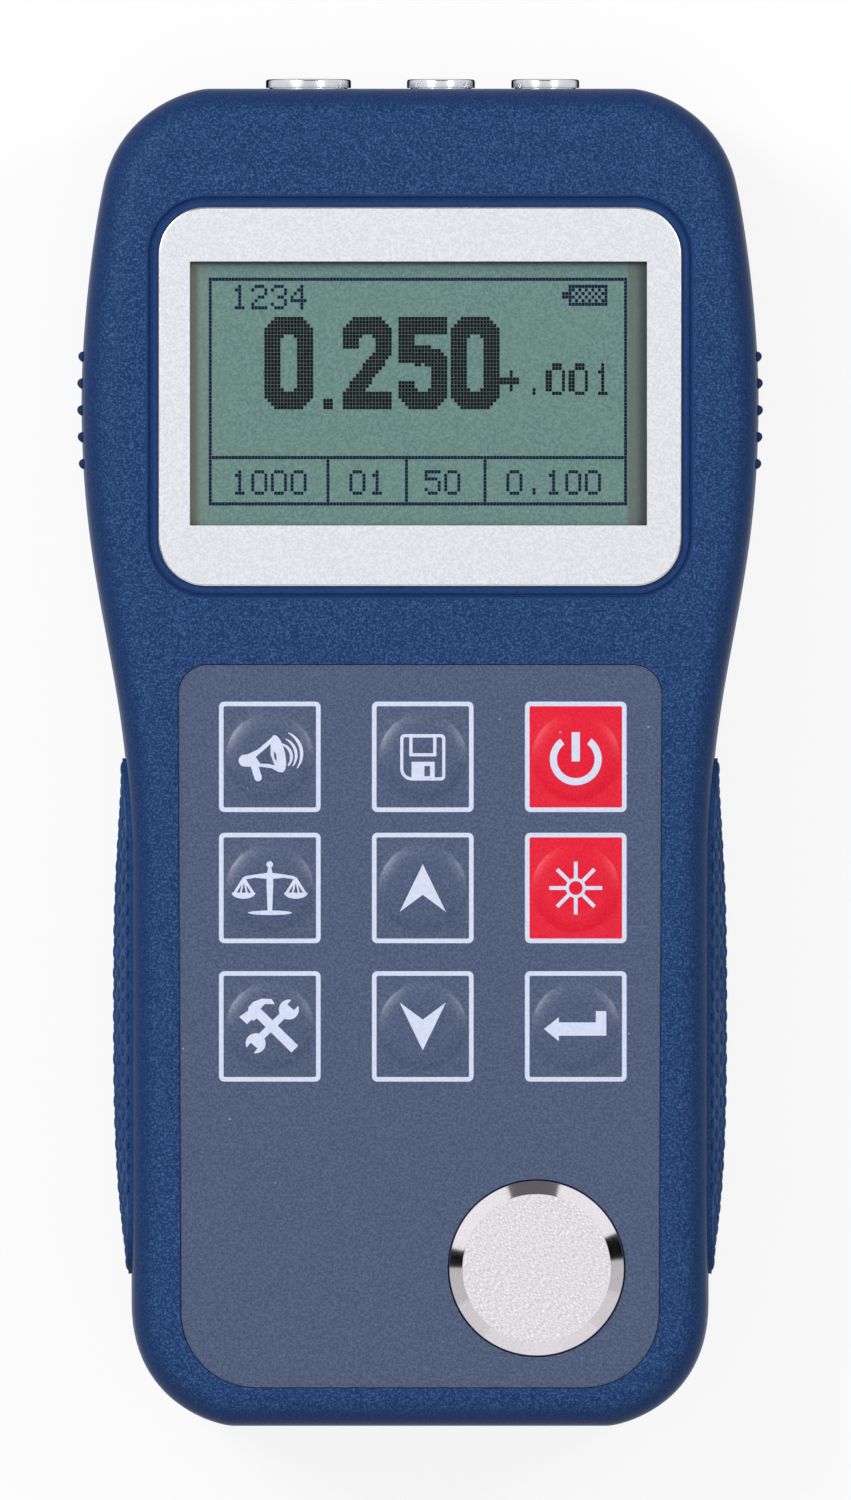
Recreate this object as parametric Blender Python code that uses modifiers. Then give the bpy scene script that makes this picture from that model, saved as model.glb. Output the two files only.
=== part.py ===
"""Hand-held ultrasonic thickness gauge, lying on its back with its face up.

Metres, +Z up. X runs across the case and Y along it, from the foot to the sockets.
The back lies on z = 0, and the origin is under the middle of the overall outline.
"""
import math

import bmesh
import bpy
import numpy as np
from mathutils import Matrix, Vector
from mathutils.geometry import interpolate_bezier

MM = 0.001

# Fits
GAP = 0.3 * MM

# Housing
BODY_DEPTH = 31.0 * MM
WALL = 2.4 * MM
FRONT_WALL = 3.0 * MM
BACK_WALL = 2.4 * MM
EDGE_RADIUS = 4.0 * MM
DRAFT = 0.4 * MM
HEAD_BORDER = 8.62 * MM
SHOULDER_STEP = 2.44 * MM
TOP_CORNER = 11.74 * MM
WAIST_HALF = 31.88 * MM
FOOT_HALF = 31.8 * MM
FOOT_CORNER = 11.25 * MM
SHOULDER_DROP = 10.57 * MM
HEAD_DROP = 34.35 * MM
WAIST_DROP = 86.2 * MM
FOOT_RISE = 13.55 * MM
SHOULDER_LEAN = 0.21
FOOT_PULL = 0.15
HEEL_PULL = 0.83
WAIST_PULL = 0.44
HEAD_PULL = 0.29
SHOULDER_PULL = 0.78
TOP_PULL = 0.21
TONGUE_HEIGHT = 1.2 * MM
TONGUE_THICK = 0.8 * MM
TONGUE_STEP = 0.1 * MM

# Side ribs of the head
RIB_COUNT = 5
RIB_PITCH = 2.95 * MM
RIB_RADIUS = 0.55 * MM
RIB_PROUD = 0.42 * MM
RIB_LENGTH = 18.0 * MM
RIB_DROP = 35.5 * MM

# Side grips
GRIP_LENGTH = 56.8 * MM
GRIP_HEIGHT = 20.0 * MM
GRIP_CORNER = 8.0 * MM
GRIP_SEAT = 0.8 * MM
GRIP_EDGE = 0.3 * MM
GRIP_BULGE = 1.7 * MM
GRIP_FULLNESS = 3
GRIP_RISE = 16.8 * MM
GRIP_STEPS = 12
GRIP_LEVELS = 9

# Display
BEZEL_SIDE = 3.6 * MM
BEZEL_END = 6.3 * MM
BEZEL_CORNER = 5.2 * MM
BEZEL_THICK = 0.8 * MM
BEZEL_PROUD = 0.2 * MM
BEZEL_CHAMFER = 0.25 * MM
BEZEL_DROP = 34.1 * MM
SURROUND_WIDTH = 1.15 * MM
SURROUND_DEPTH = 0.35 * MM
WINDOW_WIDTH = 50.2 * MM
WINDOW_HEIGHT = 29.0 * MM
WINDOW_SHIFT = 0.35 * MM
LENS_THICK = 0.8 * MM
FRAME_SIDE = 2.2 * MM
FRAME_END = 3.8 * MM
FRAME_WALL = 0.5 * MM
FRAME_LIP = 0.3 * MM
FRAME_CORNER = 1.0 * MM
GLASS_THICK = 1.8 * MM

# Keypad
KEYPAD_TOP_HALF = 26.55 * MM
KEYPAD_FOOT_HALF = 26.2 * MM
KEYPAD_TOP_CORNER = 3.2 * MM
KEYPAD_FOOT_CORNER = 8.3 * MM
KEYPAD_BELOW_BEZEL = 8.65 * MM
KEYPAD_ABOVE_FOOT = 4.5 * MM
OVERLAY_SUNK = 0.25 * MM
OVERLAY_THICK = 0.35 * MM
SPACER_THICK = 0.55 * MM
SHEET_THICK = 0.25 * MM
DOME_RADIUS = 3.0 * MM
DOME_HEIGHT = 0.45 * MM
DOME_ANGLES = (0.0, 0.7, 1.3)
KEYPAD_FLOOR = 1.7 * MM

# Keys
KEY_RADIUS = 4.65 * MM
KEY_PROUD = 0.35 * MM
KEY_EDGE = 0.9 * MM
KEY_EDGE_STEPS = 2
KEY_TRAVEL = 0.4 * MM
KEY_CLEARANCE = 0.05 * MM
KEY_COLUMN_PITCH = 16.8 * MM
KEY_COLUMN_SHIFT = 0.3 * MM
KEY_TOP_ROW_DROP = 10.1 * MM
KEY_ROW_GAPS = (14.4 * MM, 15.2 * MM)
KEY_NAMES = (("alarm", "memory", "power"),
             ("calibrate", "up", "backlight"),
             ("setup", "down", "enter"))
RED_KEYS = ("key_power", "key_backlight")

# Zero disc
DISC_RADIUS = 9.62 * MM
DISC_RIM = 1.42 * MM
DISC_PROUD = 1.0 * MM
DISC_CHAMFER_DEPTH = 0.9 * MM
DISC_STUB_RADIUS = 4.0 * MM
DISC_STUB_LENGTH = 3.2 * MM
DISC_X = 12.8 * MM
DISC_BELOW_KEYS = 26.55 * MM
DISC_RISE = 13.1 * MM
RETAINER_RADIUS = 7.0 * MM
RETAINER_THICK = 0.6 * MM

# Sockets in the top wall
SOCKET_PROUD = 1.0 * MM
SOCKET_BELOW_BOARD = 4.8 * MM
SOCKET_WALL = 0.45 * MM
SOCKET_NECK = 0.4 * MM
SOCKET_CLEARANCE = 0.2 * MM
SOCKET_MOUTH = 0.2 * MM
SOCKET_RIM_SHARE = 0.45
SOCKET_LENGTH = 12.0 * MM
SOCKET_BORE_DEPTH = 8.2 * MM
SOCKET_PIN_RADIUS = 0.5 * MM
SOCKET_PIN_LENGTH = 2.4 * MM
SOCKET_INSERT_THICK = 1.6 * MM
NUT_THICK = 1.8 * MM
NUT_RIM = 1.3 * MM
SOCKETS = (("data_socket", -12.3 * MM, 4.7 * MM),
           ("probe_socket_left", 2.3 * MM, 3.75 * MM),
           ("probe_socket_right", 13.8 * MM, 3.75 * MM))

# Main board
BOARD_THICK = 1.6 * MM
BOARD_NECK_HALF = 24.0 * MM
BOARD_TAIL_INSET = 4.15 * MM
BOARD_TOP_DROP = 8.0 * MM
BOARD_SHOULDER_DROP = 17.5 * MM
BOARD_WAIST_DROP = 50.0 * MM
BOARD_LENGTH = 73.0 * MM
BOARD_CLEARANCE = 6.6 * MM
BOARD_SCREW_HEAD_DROP = 24.0 * MM
BOARD_SCREW_TAIL_DROP = 77.0 * MM
BOARD_SCREW_INSET = 2.4 * MM
CHIP_THICK = 1.3 * MM
CHIPS = (("processor_chip", -9.0 * MM, 34.0 * MM, 12.0 * MM, 12.0 * MM, CHIP_THICK),
         ("memory_chip", 9.0 * MM, 46.0 * MM, 8.0 * MM, 5.0 * MM, CHIP_THICK),
         ("pulser_coil", 8.0 * MM, 20.0 * MM, 9.0 * MM, 9.0 * MM, 3 * CHIP_THICK))
BUZZER_RADIUS = 6.0 * MM
BUZZER_HEIGHT = 3.6 * MM
TAIL_WIDTH = 9.0 * MM
TAIL_THICK = 0.3 * MM
TAIL_DROP = 4.0 * MM

# Screws
CASE_SCREW_HEAD_RADIUS = 2.2 * MM
CASE_SCREW_HEAD = 1.6 * MM
CASE_SCREW_RADIUS = 1.1 * MM
CASE_SCREW_LENGTH = 14.0 * MM
CASE_SEAT_HEIGHT = 6.5 * MM
CASE_TOP_X = 28.3 * MM
CASE_TOP_DROP = 10.4 * MM
CASE_FOOT_X = 26.4 * MM
CASE_FOOT_RISE = 9.8 * MM
BOARD_SCREW_HEAD_RADIUS = 1.8 * MM
BOARD_SCREW_HEAD = 1.2 * MM
BOARD_SCREW_RADIUS = 0.8 * MM
BOARD_SCREW_LENGTH = 5.0 * MM
BOSS_WALL = 1.5 * MM
CROSS_DEPTH = 0.8 * MM
CROSS_WIDTH = 0.5 * MM

# Cells and their bay
CELL_RADIUS = 7.25 * MM
CELL_LENGTH = 50.5 * MM
CELL_NUB_RADIUS = 2.75 * MM
CELL_NUB_LENGTH = 1.2 * MM
CELL_BEVEL = 0.5 * MM
CELL_SPACING = 15.4 * MM
BAY_RISE = 5.6 * MM
BAY_WALL = 1.8 * MM
SPRING_LENGTH = 3.6 * MM
SPRING_RADIUS = 3.2 * MM
SPRING_WIRE = 0.35 * MM
SPRING_TURNS = 3
SPRING_STEPS = 10
PLATE_THICK = 0.5 * MM
PLATE_WIDTH = 10.0 * MM
PLATE_HEIGHT = 10.0 * MM

# Battery door
DOOR_HALF = 20.5 * MM
DOOR_THICK = 2.0 * MM
DOOR_CORNER = 2.0 * MM
DOOR_ABOVE_BAY = 2.5 * MM
TONGUE_REACH = 0.9 * MM
RAIL_THICK = 1.0 * MM
RAIL_STEP = 0.05 * MM
DECK_THICK = 2.2 * MM
THUMB_GROOVES = 5
THUMB_PITCH = 1.8 * MM
THUMB_WIDTH = 12.0 * MM
THUMB_DEPTH = 0.5 * MM

# Places worked out from the sizes above
BEZEL_WIDTH = WINDOW_WIDTH + 2 * BEZEL_SIDE
BEZEL_HEIGHT = WINDOW_HEIGHT + 2 * BEZEL_END
FRAME_WIDTH = WINDOW_WIDTH + 2 * FRAME_SIDE
FRAME_HEIGHT = WINDOW_HEIGHT + 2 * FRAME_END
HEAD_HALF = BEZEL_WIDTH / 2 + HEAD_BORDER
SHOULDER_HALF = HEAD_HALF - SHOULDER_STEP
TOP_FLAT_HALF = SHOULDER_HALF - TOP_CORNER
FOOT_FLAT_HALF = FOOT_HALF - FOOT_CORNER
KEYPAD_LENGTH = KEY_TOP_ROW_DROP + sum(KEY_ROW_GAPS) + DISC_BELOW_KEYS + DISC_RISE
BODY_LENGTH = (BEZEL_DROP + BEZEL_HEIGHT / 2 + KEYPAD_BELOW_BEZEL + KEYPAD_LENGTH
               + KEYPAD_ABOVE_FOOT)
OVERALL_LENGTH = BODY_LENGTH + SOCKET_PROUD
FOOT_Y = -OVERALL_LENGTH / 2
TOP_Y = FOOT_Y + BODY_LENGTH
BEZEL_Y = TOP_Y - BEZEL_DROP
KEYPAD_TOP_Y = BEZEL_Y - BEZEL_HEIGHT / 2 - KEYPAD_BELOW_BEZEL
KEYPAD_FOOT_Y = FOOT_Y + KEYPAD_ABOVE_FOOT
DISC_FACE_RADIUS = DISC_RADIUS - DISC_RIM
OVERLAY_TOP = BODY_DEPTH - OVERLAY_SUNK
OVERLAY_LOW = OVERLAY_TOP - OVERLAY_THICK
SPACER_TOP = OVERLAY_LOW - GAP
SPACER_LOW = SPACER_TOP - SPACER_THICK
SHEET_TOP = SPACER_LOW - GAP
SHEET_LOW = SHEET_TOP - SHEET_THICK
RECESS_FLOOR = SHEET_LOW - GAP
HANDLE_CEILING = RECESS_FLOOR - KEYPAD_FLOOR
HEAD_CEILING = BODY_DEPTH - FRONT_WALL
BEZEL_TOP = BODY_DEPTH + BEZEL_PROUD
BEZEL_LOW = BEZEL_TOP - BEZEL_THICK
LENS_TOP = BEZEL_LOW - GAP
LENS_LOW = LENS_TOP - LENS_THICK
FRAME_TOP = LENS_LOW - GAP
GLASS_TOP = FRAME_TOP - FRAME_LIP - GAP
BOARD_TOP = FRAME_TOP - BOARD_CLEARANCE
BOARD_LOW = BOARD_TOP - BOARD_THICK
SOCKET_Z = BOARD_LOW - SOCKET_BELOW_BOARD
SPLIT_HEIGHT = SOCKET_Z
BOARD_SCREW_X = FRAME_WIDTH / 2 + 2 * GAP + BOARD_SCREW_RADIUS + BOSS_WALL
BOARD_HALF = BOARD_SCREW_X + BOARD_SCREW_INSET
BOARD_TAIL_HALF = WAIST_HALF - BOARD_TAIL_INSET
CELL_Z = DOOR_THICK + 2 * GAP + CELL_RADIUS
BAY_LENGTH = CELL_LENGTH + SPRING_LENGTH + 2 * PLATE_THICK + 5 * GAP
BAY_FOOT_Y = FOOT_Y + BAY_RISE
BAY_TOP_Y = BAY_FOOT_Y + BAY_LENGTH
BAY_HALF = CELL_SPACING / 2 + CELL_RADIUS + GAP
BAY_CEILING = CELL_Z + CELL_RADIUS + GAP
DOOR_TOP_Y = BAY_TOP_Y + DOOR_ABOVE_BAY
RAIL_TOP_Y = DOOR_TOP_Y - 2 * DOOR_CORNER
GRIP_Y = FOOT_Y + GRIP_RISE + GRIP_LENGTH / 2
GRIP_Z = SPLIT_HEIGHT
DISC_Y = KEYPAD_FOOT_Y + DISC_RISE
SPLIT_LOW = SPLIT_HEIGHT - GAP / 2
SPLIT_TOP = SPLIT_HEIGHT + GAP / 2
BEYOND = 20 * MM
OVERRUN = 0.5 * MM
ROUND = 20
POST_SIDES = 10
HOLE_SIDES = 10
KEY_SIDES = 16
DISC_SIDES = 36
ON_SIDE = Matrix(((0, 0, 1, 0), (1, 0, 0, 0), (0, 1, 0, 0), (0, 0, 0, 1)))
ALONG_Y = Matrix.Rotation(math.pi / 2, 4, 'X')


def start_scene():
    """Remove every object and make the two collections."""
    for old in list(bpy.data.objects):
        bpy.data.objects.remove(old, do_unlink=True)
    made = []
    for name in ("thickness_gauge", "cutters"):
        collection = bpy.data.collections.new(name)
        bpy.context.scene.collection.children.link(collection)
        made.append(collection)
    return made


PARTS, CUTTERS = start_scene()


def material(name, colour, roughness, metallic=0.0):
    """Return a Principled material with a plain colour."""
    made = bpy.data.materials.new(name)
    made.use_nodes = True
    shader = made.node_tree.nodes["Principled BSDF"]
    shader.inputs["Base Color"].default_value = (*colour, 1.0)
    shader.inputs["Roughness"].default_value = roughness
    shader.inputs["Metallic"].default_value = metallic
    made.diffuse_color = (*colour, 1.0)
    return made


def add_object(name, mesh):
    """Link a new object that holds the mesh to the parts collection."""
    made = bpy.data.objects.new(name, mesh)
    PARTS.objects.link(made)
    return made


def finish(piece, finish_material, sharp_angle=35.0):
    """Give a piece its material and shade its round faces smooth."""
    piece.data.materials.clear()
    piece.data.materials.append(finish_material)
    piece.data.shade_smooth()
    piece.data.set_sharp_from_angle(angle=math.radians(sharp_angle))
    return piece


def as_tool(piece):
    """Move a shape to the cutters, so that it only shapes other pieces."""
    for collection in list(piece.users_collection):
        collection.objects.unlink(piece)
    CUTTERS.objects.link(piece)
    piece.hide_render = True
    piece.display_type = 'WIRE'
    return piece


def combine(piece, tool, operation):
    """Cut, join or intersect a piece with a tool."""
    as_tool(tool)
    step = piece.modifiers.new(tool.name, 'BOOLEAN')
    step.operation = operation
    step.object = tool
    step.solver = 'EXACT'


def cut(piece, *tools):
    for tool in tools:
        combine(piece, tool, 'DIFFERENCE')


def join(piece, *tools):
    for tool in tools:
        combine(piece, tool, 'UNION')


def plain_mesh(piece):
    """Return the evaluated mesh of an object and remove the object."""
    graph = bpy.context.evaluated_depsgraph_get()
    mesh = bpy.data.meshes.new_from_object(piece.evaluated_get(graph))
    mesh.transform(piece.matrix_world)
    bpy.data.objects.remove(piece, do_unlink=True)
    return mesh


def flat_solid(name, loops, low, high, turn=None):
    """Extrude a flat outline, with holes where more than one loop is given."""
    curve = bpy.data.curves.new(name, 'CURVE')
    curve.dimensions = '2D'
    curve.fill_mode = 'BOTH'
    curve.extrude = (high - low) / 2
    for loop in loops:
        spline = curve.splines.new('POLY')
        spline.points.add(len(loop) - 1)
        spline.use_cyclic_u = True
        for point, (x, y) in zip(spline.points, loop):
            point.co = (x, y, 0.0, 1.0)
    holder = bpy.data.objects.new(name, curve)
    PARTS.objects.link(holder)
    holder.location.z = (high + low) / 2
    bpy.context.view_layer.update()
    mesh = plain_mesh(holder)
    if turn is not None:
        mesh.transform(turn)
    shape = bmesh.new()
    shape.from_mesh(mesh)
    bmesh.ops.remove_doubles(shape, verts=shape.verts, dist=1e-6)
    bmesh.ops.recalc_face_normals(shape, faces=shape.faces)
    shape.to_mesh(mesh)
    shape.free()
    return add_object(name, mesh)


def loft(name, rings):
    """Skin a stack of rings, lowest first, and close both ends."""
    shape = bmesh.new()
    levels = [[shape.verts.new(point) for point in ring] for ring in rings]
    count = len(levels[0])
    for lower, upper in zip(levels, levels[1:]):
        for i in range(count):
            j = (i + 1) % count
            shape.faces.new((lower[i], lower[j], upper[j], upper[i]))
    shape.faces.new(levels[-1])
    shape.faces.new(list(reversed(levels[0])))
    mesh = bpy.data.meshes.new(name)
    shape.to_mesh(mesh)
    shape.free()
    return add_object(name, mesh)


def box(name, low, high):
    """Make a box between two corners."""
    shape = bmesh.new()
    bmesh.ops.create_cube(shape, size=1.0)
    size = Vector(high) - Vector(low)
    centre = (Vector(high) + Vector(low)) / 2
    bmesh.ops.scale(shape, vec=size, verts=shape.verts)
    bmesh.ops.translate(shape, vec=centre, verts=shape.verts)
    mesh = bpy.data.meshes.new(name)
    shape.to_mesh(mesh)
    shape.free()
    return add_object(name, mesh)


def rods(name, places, radius, low, high, segments=ROUND):
    """Make one or more upright round bars as a single mesh."""
    shape = bmesh.new()
    for x, y in places:
        spot = Matrix.Translation((x, y, (low + high) / 2))
        bmesh.ops.create_cone(shape, cap_ends=True, segments=segments, radius1=radius,
                              radius2=radius, depth=high - low, matrix=spot)
    mesh = bpy.data.meshes.new(name)
    shape.to_mesh(mesh)
    shape.free()
    return add_object(name, mesh)


def turned(name, profile, place=(0.0, 0.0, 0.0), lean=0.0, segments=ROUND):
    """Turn a profile, listed down its outer side, about its own Z axis."""
    mesh = bpy.data.meshes.new(name)
    verts = [(radius, 0.0, height) for radius, height in profile]
    edges = [(i, i + 1) for i in range(len(verts) - 1)]
    mesh.from_pydata(verts, edges, [])
    piece = add_object(name, mesh)
    step = piece.modifiers.new("turn", 'SCREW')
    step.steps = segments
    step.render_steps = segments
    step.use_merge_vertices = True
    step.merge_threshold = 1e-6
    piece.location = place
    piece.rotation_euler.x = lean
    bpy.context.view_layer.update()
    return piece


def circle(x, y, radius, segments=ROUND):
    return [(x + radius * math.cos(math.tau * i / segments),
             y + radius * math.sin(math.tau * i / segments)) for i in range(segments)]


def rounded(corners, radii, steps=6):
    """Return an anticlockwise outline with each corner turned to an arc."""
    points = []
    count = len(corners)
    for i, radius in enumerate(radii):
        here = Vector(corners[i])
        back = (Vector(corners[i - 1]) - here).normalized()
        ahead = (Vector(corners[(i + 1) % count]) - here).normalized()
        half = back.angle(ahead) / 2
        reach = radius / math.tan(half)
        centre = here + (back + ahead).normalized() * (radius / math.sin(half))
        start = here + back * reach - centre
        end = here + ahead * reach - centre
        sweep = math.pi - 2 * half
        turn = 1.0 if start.x * end.y - start.y * end.x > 0 else -1.0
        for k in range(steps + 1):
            angle = turn * sweep * k / steps
            spun = Matrix.Rotation(angle, 2) @ start
            points.append(tuple(centre + spun))
    return points


def rectangle(x, y, width, height, radius, grow=0.0, steps=6):
    """Return a rounded rectangle, grown evenly on every side."""
    a = width / 2 + grow
    b = height / 2 + grow
    corners = [(x - a, y - b), (x + a, y - b), (x + a, y + b), (x - a, y + b)]
    return rounded(corners, [radius + grow] * 4, steps)


def at_height(loop, z):
    return [(x, y, z) for x, y in loop]


def half_outline(side_steps=1):
    """Return the right side of the case outline, from the foot to the top."""
    foot = Vector((FOOT_FLAT_HALF, FOOT_Y))
    heel = Vector((FOOT_HALF, FOOT_Y + FOOT_RISE))
    waist = Vector((WAIST_HALF, TOP_Y - WAIST_DROP))
    head = Vector((HEAD_HALF, TOP_Y - HEAD_DROP))
    shoulder = Vector((SHOULDER_HALF, TOP_Y - SHOULDER_DROP))
    top = Vector((TOP_FLAT_HALF, TOP_Y))
    points = list(interpolate_bezier(foot, foot + Vector((FOOT_CORNER * FOOT_PULL, 0)),
                                     heel - Vector((0, FOOT_RISE * HEEL_PULL)), heel, 8))
    points += [heel.lerp(waist, i / side_steps) for i in range(1, side_steps)]
    pull = Vector((0, (head.y - waist.y) * WAIST_PULL))
    points += interpolate_bezier(waist, waist + pull, head - pull, head, 9)
    reach = (shoulder.y - head.y) * HEAD_PULL
    lean = Vector((-SHOULDER_LEAN, 1)).normalized()
    points += interpolate_bezier(head, head + Vector((0, reach)), shoulder - lean * reach,
                                 shoulder, 4)[1:]
    points += interpolate_bezier(shoulder, shoulder + lean * SHOULDER_DROP * SHOULDER_PULL,
                                 top + Vector((TOP_CORNER * TOP_PULL, 0)), top, 9)[1:]
    return [(point.x, point.y) for point in points]


def case_outline(inset=0.0, side_steps=1):
    """Return the whole case outline, moved inwards by the inset."""
    right = half_outline(side_steps)
    loop = right + [(-x, y) for x, y in reversed(right)]
    if inset == 0.0:
        return loop
    moved = []
    for i, here in enumerate(loop):
        before = Vector(here) - Vector(loop[i - 1])
        after = Vector(loop[(i + 1) % len(loop)]) - Vector(here)
        first = Vector((-before.y, before.x)).normalized()
        second = Vector((-after.y, after.x)).normalized()
        shift = (first + second) * (inset / (1.0 + first.dot(second)))
        moved.append(tuple(Vector(here) + shift))
    return moved


def side_at(y):
    """Return the half width of the case beside the head and handle."""
    right = [point for point in half_outline() if point[0] > WAIST_HALF - DRAFT]
    return float(np.interp(y, [point[1] for point in right], [point[0] for point in right]))


def draft_at(z):
    """Return how far the side walls have leaned in at a height."""
    span = BODY_DEPTH - SPLIT_HEIGHT if z > SPLIT_HEIGHT else SPLIT_HEIGHT
    return DRAFT * abs(z - SPLIT_HEIGHT) / span


def case_form(name, steps=4):
    """Return the closed outer form of the whole case, with rounded rims."""
    levels = []
    for k in range(steps + 1):
        angle = math.pi / 2 * k / steps
        rise = EDGE_RADIUS * (1 - math.cos(angle))
        levels.append((rise, EDGE_RADIUS * (1 - math.sin(angle))))
    heights = levels + [(SPLIT_HEIGHT, 0.0)]
    heights += [(BODY_DEPTH - rise, inset) for rise, inset in reversed(levels)]
    rings = [at_height(case_outline(inset + draft_at(z)), z) for z, inset in heights]
    return loft(name, rings)


def inner_form(name, inset, low, high):
    """Return the case outline moved inwards, between two heights."""
    loop = case_outline(inset)
    return loft(name, [at_height(loop, low), at_height(loop, high)])


def side_ribs(name):
    """Return the ribs on both sides of the head, as one shape."""
    shape = bmesh.new()
    for i in range(RIB_COUNT):
        y = TOP_Y - RIB_DROP - (i - (RIB_COUNT - 1) / 2) * RIB_PITCH
        x = side_at(y) + RIB_PROUD - RIB_RADIUS
        for side in (-1, 1):
            spot = Matrix.Translation((side * x, y, SPLIT_HEIGHT))
            made = bmesh.ops.create_uvsphere(shape, u_segments=8, v_segments=6,
                                             radius=RIB_RADIUS)
            for vert in made["verts"]:
                stretch = RIB_LENGTH / 2 - RIB_RADIUS
                vert.co.z += math.copysign(stretch, vert.co.z) if abs(vert.co.z) > 1e-7 else 0.0
                vert.co = spot @ vert.co
    mesh = bpy.data.meshes.new(name)
    shape.to_mesh(mesh)
    shape.free()
    return add_object(name, mesh)


def grip_outline(grow=0.0):
    """Return the grip outline seen from the side, Y across and Z up."""
    return rectangle(GRIP_Y, GRIP_Z, GRIP_LENGTH, GRIP_HEIGHT, GRIP_CORNER, grow)


def grip_slab(name, side, grow=0.0):
    """Return the grip outline extruded through one side wall."""
    near = WAIST_HALF - 4 * WALL
    far = WAIST_HALF + BEYOND
    low, high = (near, far) if side > 0 else (-far, -near)
    return flat_solid(name, [grip_outline(grow)], low, high, ON_SIDE)


def swollen_form(name):
    """Return the case outline swollen outwards where the grips are."""
    rings = []
    for k in range(GRIP_LEVELS):
        across = 2 * k / (GRIP_LEVELS - 1) - 1
        z = GRIP_Z + across * (GRIP_HEIGHT / 2 + 2 * GAP)
        crown = math.cos(across * math.pi / 2)
        ring = []
        for x, y in case_outline(0.0, GRIP_STEPS):
            along = min(1.0, abs(y - GRIP_Y) / (GRIP_LENGTH / 2))
            swell = GRIP_EDGE + GRIP_BULGE * crown * (1 - along ** GRIP_FULLNESS)
            ring.append((x + math.copysign(swell, x), y, z))
        rings.append(ring)
    return loft(name, rings)


def grip(name, side, rubber):
    """Make one moulded grip, seated in the side of both shells."""
    piece = grip_slab(name, side)
    combine(piece, swollen_form(name + "_skin"), 'INTERSECT')
    cut(piece, inner_form(name + "_seat", GRIP_SEAT, 0.0, BODY_DEPTH))
    return finish(piece, rubber)


def grip_recess(name, side):
    """Return the pocket that one grip sits in."""
    pocket = grip_slab(name, side, GAP)
    cut(pocket, inner_form(name + "_floor", GRIP_SEAT + GAP, 0.0, BODY_DEPTH))
    return pocket


def socket_holes(name):
    """Return the bars that open the top wall for the three sockets."""
    shape = bmesh.new()
    for _, x, radius in SOCKETS:
        spot = Matrix.Translation((x, TOP_Y, SOCKET_Z)) @ ALONG_Y
        hole = radius - SOCKET_NECK + SOCKET_CLEARANCE
        bmesh.ops.create_cone(shape, cap_ends=True, segments=KEY_SIDES, radius1=hole,
                              radius2=hole, depth=4 * WALL, matrix=spot)
    mesh = bpy.data.meshes.new(name)
    shape.to_mesh(mesh)
    shape.free()
    return add_object(name, mesh)


def case_screw_places():
    top = TOP_Y - CASE_TOP_DROP
    foot = FOOT_Y + CASE_FOOT_RISE
    return [(-CASE_TOP_X, top), (CASE_TOP_X, top), (-CASE_FOOT_X, foot), (CASE_FOOT_X, foot)]


def board_screw_places():
    tail_x = BOARD_TAIL_HALF - BOARD_SCREW_INSET
    head_y = TOP_Y - BOARD_SCREW_HEAD_DROP
    tail_y = TOP_Y - BOARD_SCREW_TAIL_DROP
    return [(-BOARD_SCREW_X, head_y), (BOARD_SCREW_X, head_y), (-tail_x, tail_y), (tail_x, tail_y)]


def keypad_outline(grow=0.0):
    """Return the outline of the keypad film, with its larger foot corners."""
    top = KEYPAD_TOP_Y + grow
    foot = KEYPAD_FOOT_Y - grow
    a = KEYPAD_FOOT_HALF + grow
    b = KEYPAD_TOP_HALF + grow
    radii = [KEYPAD_FOOT_CORNER + grow] * 2 + [KEYPAD_TOP_CORNER + grow] * 2
    return rounded([(-a, foot), (a, foot), (b, top), (-b, top)], radii)


def key_places():
    """Return each key's name and the middle of its pillow."""
    places = []
    for row, names in enumerate(KEY_NAMES):
        y = KEYPAD_TOP_Y - KEY_TOP_ROW_DROP - sum(KEY_ROW_GAPS[:row])
        for column, name in enumerate(names):
            x = KEY_COLUMN_SHIFT + (column - 1) * KEY_COLUMN_PITCH
            places.append(("key_" + name, x, y))
    return places


def bezel_outline(grow=0.0):
    return rectangle(0.0, BEZEL_Y, BEZEL_WIDTH, BEZEL_HEIGHT, BEZEL_CORNER, grow)


def surround(name):
    """Return the shallow band with sloped sides around the bezel."""
    deep = bezel_outline(SURROUND_WIDTH - SURROUND_DEPTH)
    wide = bezel_outline(SURROUND_WIDTH)
    over = bezel_outline(SURROUND_WIDTH + SURROUND_DEPTH)
    return loft(name, [at_height(deep, BODY_DEPTH - SURROUND_DEPTH),
                       at_height(wide, BODY_DEPTH),
                       at_height(over, BODY_DEPTH + SURROUND_DEPTH)])


def frame_outline(grow=0.0):
    """Return the outline of the display frame, grown or drawn in evenly."""
    return rectangle(0.0, BEZEL_Y, FRAME_WIDTH, FRAME_HEIGHT, FRAME_CORNER, grow, 3)


def window_outline(grow=0.0):
    """Return the outline of the window, a little above the bezel's middle."""
    return rectangle(WINDOW_SHIFT * -0.5, BEZEL_Y + WINDOW_SHIFT, WINDOW_WIDTH, WINDOW_HEIGHT,
                     GAP, grow, 2)


def half_space(name, low, high):
    reach = OVERALL_LENGTH
    return box(name, (-reach, -reach, low), (reach, reach, high))


def lip_ring(name, outer_inset, inner_inset, low, high):
    """Return a ring along the head's inner wall, clear of the grips."""
    ring = inner_form(name, outer_inset, low, high)
    cut(ring, inner_form(name + "_inside", inner_inset, low - OVERRUN, high + OVERRUN))
    clip_y = GRIP_Y + GRIP_LENGTH / 2 + 5 * GAP
    cut(ring, box(name + "_clip", (-BODY_LENGTH, -BODY_LENGTH, low - BEYOND),
                  (BODY_LENGTH, clip_y, high + BEYOND)))
    return ring


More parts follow.
